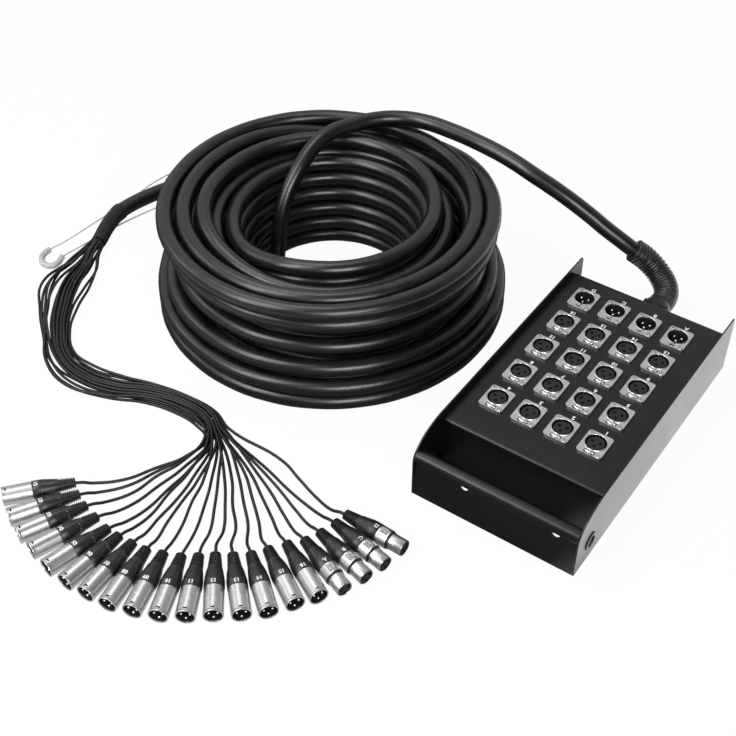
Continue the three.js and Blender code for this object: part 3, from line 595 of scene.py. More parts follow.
def stand_up(bm, before, y, lean=0):
    """Stands the faces added last across the box at a depth, leaning back by a share of the height."""
    wall = Matrix(((1, 0, 0, 0), (0, lean, 1, y), (0, 1, 0, 0), (0, 0, 0, 1)))
    bmesh.ops.transform(bm, matrix=wall, verts=added(bm, before))


def skin(bm, name, replaces):
    """Welds a skin, gives it its thickness and shows it."""
    bmesh.ops.remove_doubles(bm, verts=bm.verts, dist=0.01)
    piece = show(name, made(bm, name), ["black paint"], replaces=replaces)
    grow = piece.modifiers.new("sheet", "SOLIDIFY")
    grow.thickness = SHEET * MM
    grow.offset = -1
    grow.use_even_offset = True
    soften(piece, 0.35)


# %% Panel with its rear wall
COLUMN_X = [-57.906, -21.927, 14.052, 50.031]
ROW_Y = [-67.51, -22.117, 23.275, 68.668, 114.06]
SOCKET_SHIFT = 2
GLAND = (3, 38)
BEND = 3
FOOT = 1.8
SOCKET_HOLE = 11.4
GLAND_HOLE = 11.3
panel_line = [(RECESS, FOOT), (RECESS, PANEL_TOP - BEND)]
panel_line += arc((RECESS + BEND, PANEL_TOP - BEND), BEND, BEND, 180, 90, 6)[1:]
top_span = len(panel_line) - 1
panel_line += arc((REAR_WALL - BEND, PANEL_TOP - BEND), BEND, BEND, 90, 0, 6)
panel_line += [(REAR_WALL, FOOT)]
panel = bmesh.new()
folded(panel, panel_line, left_out=(top_span, len(panel_line) - 2))
front_fold, rear_fold = RECESS + BEND, REAR_WALL - BEND
top_outline = [(-INSIDE, front_fold), (INSIDE, front_fold), (INSIDE, rear_fold), (-INSIDE, rear_fold)]
socket_holes = [circle(SOCKET_HOLE, 32, (x, y + SOCKET_SHIFT)) for x in COLUMN_X for y in ROW_Y]
flat_faces(panel, [top_outline, *socket_holes], PANEL_TOP)
before = len(panel.verts)
rear_outline = [(-INSIDE, FOOT), (INSIDE, FOOT), (INSIDE, PANEL_TOP - BEND), (-INSIDE, PANEL_TOP - BEND)]
flat_faces(panel, [rear_outline, circle(GLAND_HOLE, 32, GLAND)], 0)
stand_up(panel, before, REAR_WALL)
skin(panel, "connector_sheet", ["connector_panel"])
print("holes in the panel:", len(socket_holes))

# %% [markdown]
# ## Handle
# The front wall is also the handle: its top edge is rolled inwards, so that a hand can hold it. The
# roll is an arc of short strips, and the wall leans back to meet it. The foot of the roll crosses the
# tops of the two holes, so the outlines of the holes end there.

# %% Handle with its rolled edge
ROLL = 7
HANDLE_TOP = 55
WALL_BACK = 3
FIXING_X = (-33, 65)
FIXING_HEIGHT = 41
handle = bmesh.new()
meets = math.degrees(math.acos(1 - WALL_BACK / ROLL))
roll_line = arc((FRONT + ROLL, HANDLE_TOP - ROLL), ROLL, ROLL, 180 + meets, -108, 30)
wall_top = roll_line[0][1]
folded(handle, [(FRONT, 0), (FRONT + WALL_BACK, wall_top), *roll_line[1:]], left_out=(0,))
before = len(handle.verts)
wall = [(-INSIDE, 0), (INSIDE, 0), (INSIDE, wall_top), (-INSIDE, wall_top)]
fixings = [[(x, z) for x, z in circle(4, 32, (at, FIXING_HEIGHT)) if z < wall_top - 0.5]
           for at in FIXING_X]
flat_faces(handle, [wall, *fixings], 0)
stand_up(handle, before, FRONT, lean=WALL_BACK / wall_top)
skin(handle, "handle", ["handle_plate"])
print("wall under the roll:", round(wall_top, 1), "mm high")

# %% [markdown]
# ## Panel connectors
# Every connector has the common flange of 26 by 31 mm, cast and nickel plated, with a low rim round
# the socket and two cross screws in opposite corners. The female one holds a black insert with three
# contacts, and the male one a black cup with three bright pins and a key slot. Both are built once
# as a mesh, and all copies share it.

# %% Screws, flange and pins
FLANGE_TOP = 64.5
PIN_CIRCLE = 4.3
PIN_PLACES = [(PIN_CIRCLE * math.cos(math.radians(angle)), PIN_CIRCLE * math.sin(math.radians(angle)))
              for angle in (20, 160, 270)]
CROSS = [(-0.42, -1.6), (0.42, -1.6), (0.42, -0.42), (1.6, -0.42), (1.6, 0.42), (0.42, 0.42), (0.42, 1.6),
         (-0.42, 1.6), (-0.42, 0.42), (-1.6, 0.42), (-1.6, -0.42), (-0.42, -0.42)]


def screw(bm, middle, height, look):
    """A low cross screw."""
    x, y = middle
    plate(bm, [circle(2.6, 24, middle)], height - 0.3, height + 0.15, look)
    cross = [(x + 0.8 * a + 0.6 * b, y + 0.8 * b - 0.6 * a) for a, b in CROSS]
    plate(bm, [circle(2.6, 24, middle), cross], height + 0.15, height + 0.75, look)


def flange(bm, holes, look):
    """The plated flange with its two screws."""
    plate(bm, [rounded(26, 31, 3), *holes], PANEL_TOP, FLANGE_TOP, look)
    for corner in ((-9.5, 12.2), (9.5, -12.2)):
        screw(bm, corner, FLANGE_TOP, 3)


def pins(bm, bottom, top, look, middle=(0, 0), sides=16):
    """Three pins with round tips."""
    for x, y in PIN_PLACES:
        turned(bm, [(1.2, bottom), (1.2, top - 0.6), (1.05, top - 0.2), (0.85, top), (0, top)],
               sides, look, (middle[0] + x, middle[1] + y))


def raised(base, profile):
    """A profile whose heights were counted from a base."""
    return [(radius, base + height) for radius, height in profile]


print("pins at", [(round(x, 2), round(y, 2)) for x, y in PIN_PLACES])

# %% Female socket
# the number that a shape is given as its look is a place in this list
SOCKET_LOOKS = ["flange nickel", "black nylon", "contact metal", "screw metal", "socket insert"]
SOCKET_RADIUS = 10.5
TAB_Y = -12
INSERT_TOP = FLANGE_TOP - 0.7
CONTACT_FLOOR = 58
socket_middle = (0, SOCKET_SHIFT)
tab_window = rounded(11.6, 5.2, 1.6, (0, TAB_Y))
female_rim = [(10.5, -0.2), (11.5, -0.2), (11.5, 0.4), (11.2, 0.7), (10.8, 0.7), (10.5, 0.4)]
contact_holes = [circle(1.65, 20, (x, y + SOCKET_SHIFT)) for x, y in PIN_PLACES]
female = bmesh.new()
flange(female, [circle(SOCKET_RADIUS, 48, socket_middle), tab_window], 0)
turned(female, raised(FLANGE_TOP, female_rim), 48, 0, socket_middle, closed=True)
turned(female, [(SOCKET_RADIUS, FLANGE_TOP - 0.1), (SOCKET_RADIUS, 52.5), (9.2, 52.5),
                (8.8, FLANGE_TOP - 1.1), (8.5, INSERT_TOP)], 48, 1, socket_middle)
plate(female, [circle(8.5, 48, socket_middle), *contact_holes], CONTACT_FLOOR, INSERT_TOP, 4)
for x, y in PIN_PLACES:
    turned(female, raised(CONTACT_FLOOR, [(1.6, 0), (1.6, 3), (1.1, 3), (1.1, 0)]), 16, 2,
           (x, y + SOCKET_SHIFT))
plate(female, [tab_window], PANEL_TOP - 0.4, PANEL_TOP, 1)
female_mesh = made(female, "female_socket")
print("faces of a female socket:", len(female_mesh.polygons))

# %% Male socket
KEY_HALF_WIDTH = 2.5
KEY_REACH = 12.1
MALE_FLOOR = 52.8
notch = math.degrees(math.asin(KEY_HALF_WIDTH / SOCKET_RADIUS))
key_hole = arc(socket_middle, SOCKET_RADIUS, SOCKET_RADIUS, -90 + notch, 270 - notch, 44)
key_hole += [(-KEY_HALF_WIDTH, SOCKET_SHIFT - KEY_REACH), (KEY_HALF_WIDTH, SOCKET_SHIFT - KEY_REACH)]
key_step = [(-KEY_HALF_WIDTH, -8), (KEY_HALF_WIDTH, -8), (KEY_HALF_WIDTH, -10.1),
            (-KEY_HALF_WIDTH, -10.1)]
male_rim = [(11.3, -0.2), (11.5, 0.3), (11.1, 0.55), (10.6, 0.3), (10.5, -0.2)]
male = bmesh.new()
flange(male, [key_hole, rounded(5.6, 1.8, 0.4, (0, -12.7))], 0)
turned(male, raised(FLANGE_TOP, male_rim), 48, 0, socket_middle, closed=True)
turned(male, [(SOCKET_RADIUS, FLANGE_TOP - 0.3), (10.45, 53), (9.5, MALE_FLOOR), (0, MALE_FLOOR)],
       48, 1, socket_middle)
plate(male, [key_step], PANEL_TOP - 1, PANEL_TOP + 0.6, 1)
pins(male, MALE_FLOOR, 62.8, 2, socket_middle)
male_mesh = made(male, "male_socket")
print("faces of a male socket:", len(male_mesh.polygons))

# %% [markdown]
# ## Release tabs
# The small oval on each numbered flange is pressed to let a plug go. It is a low dome, turned and
# then stretched sideways, and it rides on a body of its own, so that it can slide.

# %% Release tab
TAB_STRETCH = 2.39
tab_dome = [(2.3, -0.5), (2.3, 0.25), (2.15, 0.75), (1.75, 1.15), (1.1, 1.35), (0, 1.4)]
tab = bmesh.new()
turned(tab, raised(FLANGE_TOP, tab_dome), 40)
bmesh.ops.scale(tab, vec=(TAB_STRETCH, 1, 1), verts=tab.verts)
tab_mesh = made(tab, "tab")
print("tab width:", round(2 * TAB_STRETCH * tab_dome[0][0], 1))


# %% Connectors in their places
def channel(row, column, digits=1):
    """The channel at a place on the panel: a number, or a letter in the last row."""
    return f"{row * 4 + 4 - column:0{digits}d}" if row < 4 else "DCBA"[column]


for row, y in enumerate(ROW_Y):
    for column, x in enumerate(COLUMN_X):
        name, is_female = channel(row, column, digits=2), row < 4
        mesh = female_mesh if is_female else male_mesh
        replaced = "connector_panel" if is_female else f"panel_plug_{name}"
        socket = show(f"socket_{name}", mesh, SOCKET_LOOKS, replaces=[replaced])
        socket.location += mm(x, y, 0)
        soften(socket, 0.22)
        if is_female:
            push = show(f"tab_{name}", tab_mesh, ["flange nickel"], body=f"push_tab_{name}_body",
                        replaces=[f"push_tab_{name}"])
            push.location += mm(x, y + TAB_Y, 0)
print("sockets on the panel:", len(ROW_Y) * len(COLUMN_X))

# %% [markdown]
# ## Numbers on the panel
# The channels are printed in white beside each socket, and they stand on their heads when the box
# is seen from its handle, because they are read from the stage side. Flat letters of real thickness
# are simpler than a picture here, and they stay sharp from near by.

# %% Panel numbers
NUMBER_HEIGHT = 4.5
NUMBER_SHIFT = (3.7, 21.2)
prints = bmesh.new()
for row, y in enumerate(ROW_Y):
    for column, x in enumerate(COLUMN_X):
        place = (x + NUMBER_SHIFT[0], y + NUMBER_SHIFT[1])
        letters(prints, channel(row, column), NUMBER_HEIGHT, turn_deg=180, middle=place, align="LEFT")
bmesh.ops.translate(prints, verts=prints.verts, vec=(0, 0, PANEL_TOP + 0.02))
show("panel_numbers", made(prints, "panel_numbers"), ["white print"])
print("height of a number:", NUMBER_HEIGHT)

# %% [markdown]
# ## Gland and bend protector
# The multicore leaves the rear wall through a gland: a hexagon and a dome that grip the cable. A
# ribbed sleeve over the cable keeps its first bend wide. The ribs are rings along the cord's own
# line, so the sleeve always follows the cable.


# %% Rings along a line
def line_of(curve, first, last, steps):
    """Points in metres on a cord's own line between two of its chosen points."""
    bpy.context.view_layer.update()
    knots = curve.splines[0].bezier_points
    line = []
    for a, b in zip(knots[first:last], knots[first + 1:last + 1]):
        line += geometry.interpolate_bezier(a.co, a.handle_right, b.handle_left, b.co, steps + 1)[:-1]
    return line + [knots[last].co.copy()]


def spread(line, count):
    """The same line as points at even distances."""
    lengths = [0]
    for a, b in zip(line, line[1:]):
        lengths.append(lengths[-1] + (b - a).length)
    even, i = [], 0
    for step in range(count):
        wanted = lengths[-1] * step / (count - 1)
        while i < len(line) - 2 and lengths[i + 1] < wanted:
            i += 1
        even.append(line[i].lerp(line[i + 1], (wanted - lengths[i]) / (lengths[i + 1] - lengths[i])))
    return even


def sleeve(bm, line, radii, sides, look=0):
    """A skin with one ring of its surface at each point of a line in metres. Radii are in millimetres."""
    normal, rings = None, []
    for i, point in enumerate(line):
        way = (line[min(i + 1, len(line) - 1)] - line[max(i - 1, 0)]).normalized()
        normal = way.cross(Vector((0, 0, 1))) if normal is None else normal - way * normal.dot(way)
        normal.normalize()
        across = way.cross(normal)
        ring = []
        for side in range(sides):
            angle = 2 * math.pi * side / sides
            radius = radii[i](angle) if callable(radii[i]) else radii[i]
            outwards = normal * math.cos(angle) + across * math.sin(angle)
            ring.append(bm.verts.new(point / MM + outwards * radius))
        rings.append(ring)
    for low, high in zip(rings, rings[1:]):
        for side in range(sides):
            other = (side + 1) % sides
            bm.faces.new([low[side], low[other], high[other], high[side]]).material_index = look


# %% Gland
NUT_WIDTH = 36
GRIPS = 16
GRIP_RADIUS = 17.3
GRIP_HEIGHT = 13
TIPPED = Matrix.Rotation(math.radians(-90), 4, "X")
nut_corner = NUT_WIDTH / math.sqrt(3)
gland = bmesh.new()
plate(gland, [arc((0, 0), nut_corner, nut_corner, 30, 330, 5)], 0.3, 8)
turned(gland, [(17.5, 7.5), (17.6, 9), (17.4, 14), (16.6, 18), (15.4, 22), (14, 26), (13.2, 29),
               (12.9, 30), (9.2, 30), (9.2, 20)], 48)
for i in range(GRIPS):
    before = len(gland.verts)
    plate(gland, [rounded(2.2, 9, 1)], 0, 0.7)
    fresh = added(gland, before)
    wrap(fresh, lambda height: GRIP_RADIUS)
    place = Matrix.Translation((0, 0, GRIP_HEIGHT)) @ upright_turn(360 * i / GRIPS)
    bmesh.ops.transform(gland, matrix=place, verts=fresh)
gland_piece = show("gland", made(gland, "gland"), ["black nylon"],
                   replaces=["cable_gland"])
gland_piece.matrix_world = Matrix.Translation(mm(GLAND[0], REAR_WALL, GLAND[1])) @ TIPPED
soften(gland_piece, 0.5, 3)
print("grips round the gland:", GRIPS)

# %% [markdown]
# ## Bend protector
# The sleeve is soft rubber with a rib every few millimetres. A bent stack of rings could be made with
# a Curve modifier too, but here the radius just changes from ring to ring along the cord.

# %% Bend protector
RIBS = 20
RIB_STEPS = 8
RIB_RADIUS = 13.5
RIB_DEPTH = 1.1
protector_rings = RIBS * RIB_STEPS + 1
protector_line = spread(line_of(multicore_curve, 0, len(PROTECTOR_WAY) - 1, 12), protector_rings)
rib_radii = [RIB_RADIUS - RIB_DEPTH * max(0, math.cos(2 * math.pi * i / RIB_STEPS)) ** 0.9
             for i in range(protector_rings)]
rib_radii[0] = rib_radii[-1] = MULTICORE / 2 + 0.1
protector = bmesh.new()
sleeve(protector, protector_line, rib_radii, 32)
protector_piece = show("bend_sleeve", made(protector, "bend_sleeve", 60), ["soft rubber"],
                       replaces=["bend_protector"])
print("protector ribs:", RIBS)

# %% [markdown]
# ## Breakout boot
# Heat-shrink sleeve closes the end of the multicore, where it splits. It grips the round jacket at
# one end and the bunch of tails at the other, so its rings change from a circle to a lumpy outline.

# %% Breakout boot
BOOT_WAY = [(-619, 15, 12.4), (-623, -2, 12.5), (-621, -18, 12.6), (-615, -38, 11.8), BOOT_END,
            (-604, -70, 8.8)]
BOOT_RINGS = 40
boot_knots = cord_curve("boot_line", BOOT_WAY, 1)
boot_line = spread(line_of(boot_knots, 1, 4, 12), BOOT_RINGS)
bpy.data.curves.remove(boot_knots)


def boot_ring(share):
    """Radius of the sleeve as a function of the angle, at a share of its length."""
    size = 9.85 - 1.1 * share ** 0.8 + 0.55 * bell(share - 0.09, 0.07)
    lumps = 0.4 * share ** 2
    return lambda angle: size + lumps * (math.sin(7 * angle) + 0.5 * math.sin(3 * angle + 1))


boot = bmesh.new()
boot_radii = [boot_ring(i / (BOOT_RINGS - 1)) for i in range(BOOT_RINGS)]
boot_radii[0] = 8.9
sleeve(boot, boot_line, boot_radii, 40)
boot_piece = show("shrink_boot", made(boot, "shrink_boot", 60), ["shrink sleeve"],
                  replaces=["breakout_boot"])
print("rings in the boot:", BOOT_RINGS)

# %% [markdown]
# ## Cable plugs
# A plug is turned like its real parts: a rubber boot with ribs at the cable, a ring for the number,
# and a nickel shell. The male shell is a cup with three pins, and the female one has a latch button,
# a narrow groove coloured black as painted shade, and a thinner barrel. They are drawn upright, from
# the cable end up, and laid down later.


# %% Slots and pockets
def opened(bm, low, high, half_width):
    """Takes away the faces on top of a turned wall between two heights, and gives their rim."""
    inside = []
    for face in bm.faces:
        middle = face.calc_center_median()
        if low < middle.z < high and abs(middle.x) < half_width and middle.y > 8:
            inside.append(face)
    rim = [edge for face in inside for edge in face.edges
           if sum(other in inside for other in edge.link_faces) == 1]
    bmesh.ops.delete(bm, geom=inside, context="FACES")
    return rim


def slot(bm, low, high, half_width, look):
    """Opens a slot through both skins of a wall and closes its edges."""
    for face in bmesh.ops.bridge_loops(bm, edges=opened(bm, low, high, half_width))["faces"]:
        face.material_index = look


def corners_of(loop):
    """The corners of a closed loop of edges, in order."""
    left = list(loop)
    corners = list(left.pop().verts)
    while len(left) > 1:
        edge = next(each for each in left if corners[-1] in each.verts)
        left.remove(edge)
        corners.append(edge.other_vert(corners[-1]))
    return corners


def pocket(bm, low, high, half_width, floor, look):
    """Sinks a pocket with upright sides and a flat floor, in which a button can move."""
    fresh = bmesh.ops.extrude_edge_only(bm, edges=opened(bm, low, high, half_width))["geom"]
    for vertex in (part for part in fresh if isinstance(part, bmesh.types.BMVert)):
        vertex.co.y = floor
    loop = [part for part in fresh if isinstance(part, bmesh.types.BMEdge)]
    sides = [part for part in fresh if isinstance(part, bmesh.types.BMFace)]
    for face in sides + [bm.faces.new(corners_of(loop))]:
        face.material_index = look


# %% Boot and number ring
# the number that a shape is given as its look is a place in this list
PLUG_LOOKS = ["plug nickel", "soft rubber", "black nylon", "contact metal"]
RING_RADIUS = 9.75
BOOT_FLARE = [(15.9, 6.75), (17, 7.05), (20, 7.6), (24, 8.35), (28, 9.05), (31, 9.5), (33, 9.7)]


def flare_radius(height):
    """Radius of the smooth part of the boot at a height."""
    for (low, radius_a), (high, radius_b) in zip(BOOT_FLARE, BOOT_FLARE[1:]):
        if height <= high:
            return radius_a + (radius_b - radius_a) * (height - low) / (high - low)
    return BOOT_FLARE[-1][1]


def plug_boot(bm):
    """The rubber boot with eight ribs and four grip pads, and the number ring."""
    profile = [(1.7, 0.6), (1.7, 0), (4.1, 0), (4.5, 0.4)]
    for rib in range(8):
        start, radius = 0.7 + rib * 1.87, 5.3 + rib * 0.19
        profile += [(radius - 0.15, start), (radius, start + 0.2), (radius + 0.08, start + 0.8),
                    (radius - 0.15, start + 1), (radius - 1.1, start + 1.15),
                    (radius - 1.05, start + 1.7)]
    profile += [(radius, height) for height, radius in BOOT_FLARE]
    profile += [(9.4, 33.1), (9.4, 33.35), (RING_RADIUS, 33.6), (RING_RADIUS, 40.6), (9.55, 40.9),
                (9.3, 41)]
    turned(bm, profile, 32, 1)
    for quarter in range(4):
        before = len(bm.verts)
        plate(bm, [rounded(8.4, 11, 3.4, (0, 25), 4)], -0.3, 0.28, 1)
        fresh = added(bm, before)
        wrap(fresh, flare_radius)
        bmesh.ops.transform(bm, verts=fresh, matrix=upright_turn(45 + 90 * quarter))


print("boot radius at the ring:", flare_radius(33))

# %% [markdown]
# ## Male and female plugs
# The male shell has a wide rim, a slot on top where a latch catches, and a low raised frame. The
# female one carries a button, so its wall has a pocket that the button can sink into. Both openings
# are cut out of the turned wall, whose corners were put at their edges beforehand.

# %% Male plug
SHELL = 9.5
BORE = 8.35
CUP_FLOOR = 58
PAD_HEIGHT = 59.5
SLOT_LOW, SLOT_HIGH = 65.4, 67
male_plug = bmesh.new()
plug_boot(male_plug)
turned(male_plug, [(9.2, 40.8), (SHELL, 41.2), (SHELL, SLOT_LOW), (SHELL, SLOT_HIGH), (SHELL, 68.6),
                   (9.65, 68.9), (9.65, 69.6), (9.45, 69.95), (8.8, 70), (8.45, 69.8), (BORE, 69.3),
                   (BORE, 68.6)], 48, 0)
turned(male_plug, [(BORE, 68.6), (BORE, SLOT_HIGH), (BORE, SLOT_LOW), (8.3, CUP_FLOOR + 0.4),
                   (8, CUP_FLOOR), (0, CUP_FLOOR)], 48, 2)
slot(male_plug, SLOT_LOW, SLOT_HIGH, 2.4, 2)
pins(male_plug, CUP_FLOOR, 68, 3)
before = len(male_plug.verts)
plate(male_plug, [rounded(6.4, 7.4, 1.6), rounded(5.6, 6.6, 1.2)], -0.2, 0.14, 0)
fresh = added(male_plug, before)
wrap(fresh, lambda height: SHELL)
bmesh.ops.translate(male_plug, verts=fresh, vec=(0, 0, PAD_HEIGHT))
male_plug_mesh = made(male_plug, "male_plug")
print("faces of a male plug:", len(male_plug_mesh.polygons))

# %% Female plug
POCKET_LOW, POCKET_HIGH = 42.8, 51.2
female_plug = bmesh.new()
plug_boot(female_plug)
turned(female_plug, [(9.2, 40.8), (SHELL, 41.2), (SHELL, POCKET_LOW), (SHELL, POCKET_HIGH),
                     (SHELL, 52.6), (9.2, 53)], 48, 0)
pocket(female_plug, POCKET_LOW, POCKET_HIGH, 2.6, 7.3, 2)
# The groove between the shell and the barrel is real, and its black nylon look is painted shade.
turned(female_plug, [(9.2, 53), (8.7, 53), (8.7, 55), (7.9, 55)], 48, 2)
turned(female_plug, [(7.9, 55), (8.1, 55.2), (8.1, 69.3), (7.8, 69.8), (7.4, 70), (7.1, 69.7)], 48, 0)
plate(female_plug, [circle(7.15, 48), *[circle(1.9, 20, place) for place in PIN_PLACES]], 63, 69.5, 2)
plate(female_plug, [circle(7, 24)], 62, 63, 2)
female_plug_mesh = made(female_plug, "female_plug")
print("faces of a female plug:", len(female_plug_mesh.polygons))

# %% [markdown]
# ## Latch buttons
# A button is a rounded plate with four low ribs for the thumb. It is made lying flat, as if seen from
# above, and is tipped over and sunk into its plug when the plug is laid down.

# %% Latch button
BUTTON_TOP = 9.8
button = bmesh.new()
plate(button, [rounded(5.4, 8, 1.2)], 8.5, BUTTON_TOP)
for rib in range(4):
    plate(button, [rounded(4.2, 0.7, 0.3, (0, -2.4 + 1.6 * rib), 2)], BUTTON_TOP, 10.45)
button_mesh = made(button, "latch_button")
print("faces of a button:", len(button_mesh.polygons))

# %% Lay the plugs on the floor
FIGURE_HEIGHT = 3.9
RING_MIDDLE = 37
BUTTON_MIDDLE = (POCKET_LOW + POCKET_HIGH) / 2


def laid_down(x, y, heading):
    """Where an upright plug goes to lie on the floor with its front face at a point."""
    way = level_way(heading)
    front, up = -way, Vector((0, 0, 1))
    side = up.cross(front)
    turn = Matrix((side, up, front)).transposed().to_4x4()
    return Matrix.Translation((Vector((x, y, PLUG_AXIS)) + way * PLUG_LENGTH) * MM) @ turn


plug_pieces = {}
for name, x, y, heading, _, _ in PLUG_ROWS:
    mesh = male_plug_mesh if name.isdigit() else female_plug_mesh
    place = laid_down(x, y, heading)
    plug = show(f"cable_plug_{name}", mesh, PLUG_LOOKS, replaces=[f"plug_{name}"])
    figures = bmesh.new()
    wrap(letters(figures, name, FIGURE_HEIGHT, middle=(0, RING_MIDDLE)), lambda height: RING_RADIUS)
    number = show(f"plug_number_{name}", made(figures, f"plug_number_{name}"), ["white print"])
    plug.matrix_world = number.matrix_world = place
    plug_pieces[name] = [plug, number]
    if not name.isdigit():
        latch = show(f"latch_{name}", button_mesh, ["plug nickel"], body=f"plug_latch_{name}_body",
                     replaces=[f"plug_latch_{name}"])
        latch.matrix_world = place @ Matrix.Translation(mm(0, 0, BUTTON_MIDDLE)) @ TIPPED
        soften(latch, 0.2)
        plug_pieces[name].append(latch)
print("cable plugs:", len(plug_pieces))

# %% [markdown]
# ## Pulling loop
# A thin steel wire at the breakout end lets someone pull the snake through a duct. Its tip runs
# through a short clear sleeve, and a band ties its two ends to the multicore. The wire is a curve.
# The sleeve and the band are skins along the lines of the wire and the multicore, so they sit on them.

# %% Pulling loop
WIRE_WAY = [
    (-589, 116, 4), (-603, 131, 1.2), (-620, 122, 1.2), (-634, 105, 1.2), (-640, 84, 1.2),
    (-641.5, 46, 1.2), (-642.5, 6, 1.2), (-645.5, -38, 1.2), (-648, -78, 1.6), (-649.5, -101, 3.8),
    (-648.5, -112, 3.8), (-643, -120, 3.8), (-633, -124, 3.8), (-625, -120, 3.8), (-624.3, -111, 3.8),
    (-627.3, -102, 3.8), (-627, -80, 1.6), (-623.3, -54, 1.2), (-616.5, -14, 1.2), (-609.5, 14, 1.2),
    (-601.5, 40, 1.2), (-590, 64, 1.2), (-579, 86, 1.2), (-582, 100, 3),
]
WIRE = 1.8
wire_curve = cord_curve("wire", WIRE_WAY, WIRE, smoothness=8, roundness=3)
wire = show("wire_loop", wire_curve, ["steel wire"], replaces=["pulling_loop"])
clear_line = spread(line_of(wire_curve, 9, 15, 10), 60)
clear = bmesh.new()
sleeve(clear, clear_line, [3.5] * len(clear_line), 24)
clear_piece = show("clear_sleeve", made(clear, "clear_sleeve"), ["clear plastic"],
                   replaces=["loop_sleeve"])
tube = clear_piece.modifiers.new("wall", "SOLIDIFY")
tube.thickness = 0.8 * MM
tube.offset = -1
print("wire length in metres:", round(length_of(wire_curve), 3))

# %% Band that holds the wire
tail_start = len(PROTECTOR_WAY) + len(LEAD_WAY) + len(coil_points)
band_line = spread(line_of(multicore_curve, tail_start + 4, tail_start + 5, 12), 24)[4:12]
band = bmesh.new()
sleeve(band, band_line, [9.1, 9.6, 9.75, 9.65, 9.75, 9.65, 9.6, 9.1], 32)
band_piece = show("wire_band", made(band, "wire_band", 60), ["shrink sleeve"])
print("rings in the band:", len(band_line))

# %% [markdown]
# ## Wiring inside the box
# Nobody sees the wires behind the connectors unless the box is opened. They lie in one taped bunch
# on the floor of the pan, so a tube with a lumpy section is enough.

# %% Wiring loom
LOOM_WAY = [
    (3, 150, 38), (3, 139.4, 38), (3, 124, 37.5), (0, 105, 20), (-4, 75, 11), (-4, 0, 11),
    (-4, -68, 11), (-4, -78, 11),
]
LOOM_RINGS = 120
loom_knots = cord_curve("loom_line", LOOM_WAY, 1)
loom_line = spread(line_of(loom_knots, 1, len(LOOM_WAY) - 2, 12), LOOM_RINGS)
bpy.data.curves.remove(loom_knots)
loom = bmesh.new()
loom_radii = [lambda angle, i=i: 6.2 + 0.7 * abs(math.sin(3.5 * angle + 0.12 * i))
              for i in range(LOOM_RINGS)]
loom_radii[0] = loom_radii[-1] = 5
sleeve(loom, loom_line, loom_radii, 42)
show("wiring_bunch", made(loom, "wiring_bunch", 60), ["tail jacket"],
     replaces=["wiring_loom"])
print("rings in the loom:", LOOM_RINGS)

# %% [markdown]
# ## Shader effects that several finishes share
# Powder paint, rubber and plated metal look real because of small things: fine grain, patches that
# shine more than others, rubbed edges, dust and light scratches. Each effect is built once as a node
# group with named inputs, and every material places it with its own values.


# %% Tools for node groups
def effect(name, inputs, output):
    """An empty shader node group with named number inputs and one output."""
    tree = bpy.data.node_groups.new(name, "ShaderNodeTree")
    for label, value in inputs.items():
        socket = tree.interface.new_socket(label, in_out="INPUT", socket_type="NodeSocketFloat")
        socket.default_value = value
    tree.interface.new_socket(output, in_out="OUTPUT", socket_type="NodeSocketFloat")
    return tree, tree.nodes.new("NodeGroupInput").outputs, tree.nodes.new("NodeGroupOutput").inputs


def node(tree, kind, inputs=None, **settings):
    """One node. Its inputs are given as numbers, or as sockets of the nodes before it."""
    fresh = tree.nodes.new(f"ShaderNode{kind}")
    for label, value in settings.items():
        setattr(fresh, label, value)
    for label, value in (inputs or {}).items():
        if isinstance(value, bpy.types.NodeSocket):
            tree.links.new(value, fresh.inputs[label])
        else:
            fresh.inputs[label].default_value = value
    return fresh


def noise(tree, scale, detail=2, squash=(1, 1, 1), **inputs):
    """Noise in the piece's own space, so that it stays on the piece when the piece moves."""
    place = node(tree, "TexCoord").outputs["Object"]
    place = node(tree, "Mapping", {"Vector": place, "Scale": squash}).outputs[0]
    return node(tree, "TexNoise",
                {"Vector": place, "Scale": scale, "Detail": detail, **inputs}).outputs["Fac"]


def times(tree, a, b, operation="MULTIPLY"):
    """Two numbers put together, held between 0 and 1."""
    return node(tree, "Math", {0: a, 1: b}, operation=operation, use_clamp=True).outputs[0]


def between(tree, value, low, high, new_low=0, new_high=1):
    """A value moved from one range to another."""
    return node(tree, "MapRange", {"Value": value, "From Min": low, "From Max": high,
                                   "To Min": new_low, "To Max": new_high}).outputs[0]


# %% Grain and slow waves
grain, given, out = effect("fine grain", {"Scale": 1500, "Depth": 0.00002}, "Height")
height = noise(grain, given["Scale"], 3)
height = node(grain, "Math", {0: height, 1: given["Depth"]}, operation="MULTIPLY").outputs[0]
grain.links.new(height, out["Height"])
print("group:", grain.name)

# %% Patches of more and less gloss
patches, given, out = effect("uneven gloss", {"Scale": 30, "Low": 0.3, "High": 0.5}, "Value")
cloud = noise(patches, given["Scale"], 4, Roughness=0.6)
patches.links.new(between(patches, cloud, 0.3, 0.7, given["Low"], given["High"]), out["Value"])
print("group:", patches.name)

# %% [markdown]
# ### Wear, dust and marks
# Edges lose their coating first. The Bevel node bends the normal near an edge, and where it differs
# from the true normal, the edge is found, and noise breaks it up. Dust settles on what faces up.
# Scratches are noise that is squashed one way, and turning marks are noise stretched round an axis.

# %% Rubbed edges
edges, given, out = effect("edge wear", {"Radius": 0.0008, "Amount": 1, "Scale": 250}, "Mask")
rounded_normal = node(edges, "Bevel", {"Radius": given["Radius"]}, samples=4).outputs[0]
plain_normal = node(edges, "NewGeometry").outputs["Normal"]
same = node(edges, "VectorMath", {0: rounded_normal, 1: plain_normal},
            operation="DOT_PRODUCT").outputs["Value"]
edge = between(edges, same, 0.995, 0.9)
broken = between(edges, noise(edges, given["Scale"], 3), 0.35, 0.6)
edges.links.new(times(edges, times(edges, edge, broken), given["Amount"]), out["Mask"])
print("group:", edges.name)

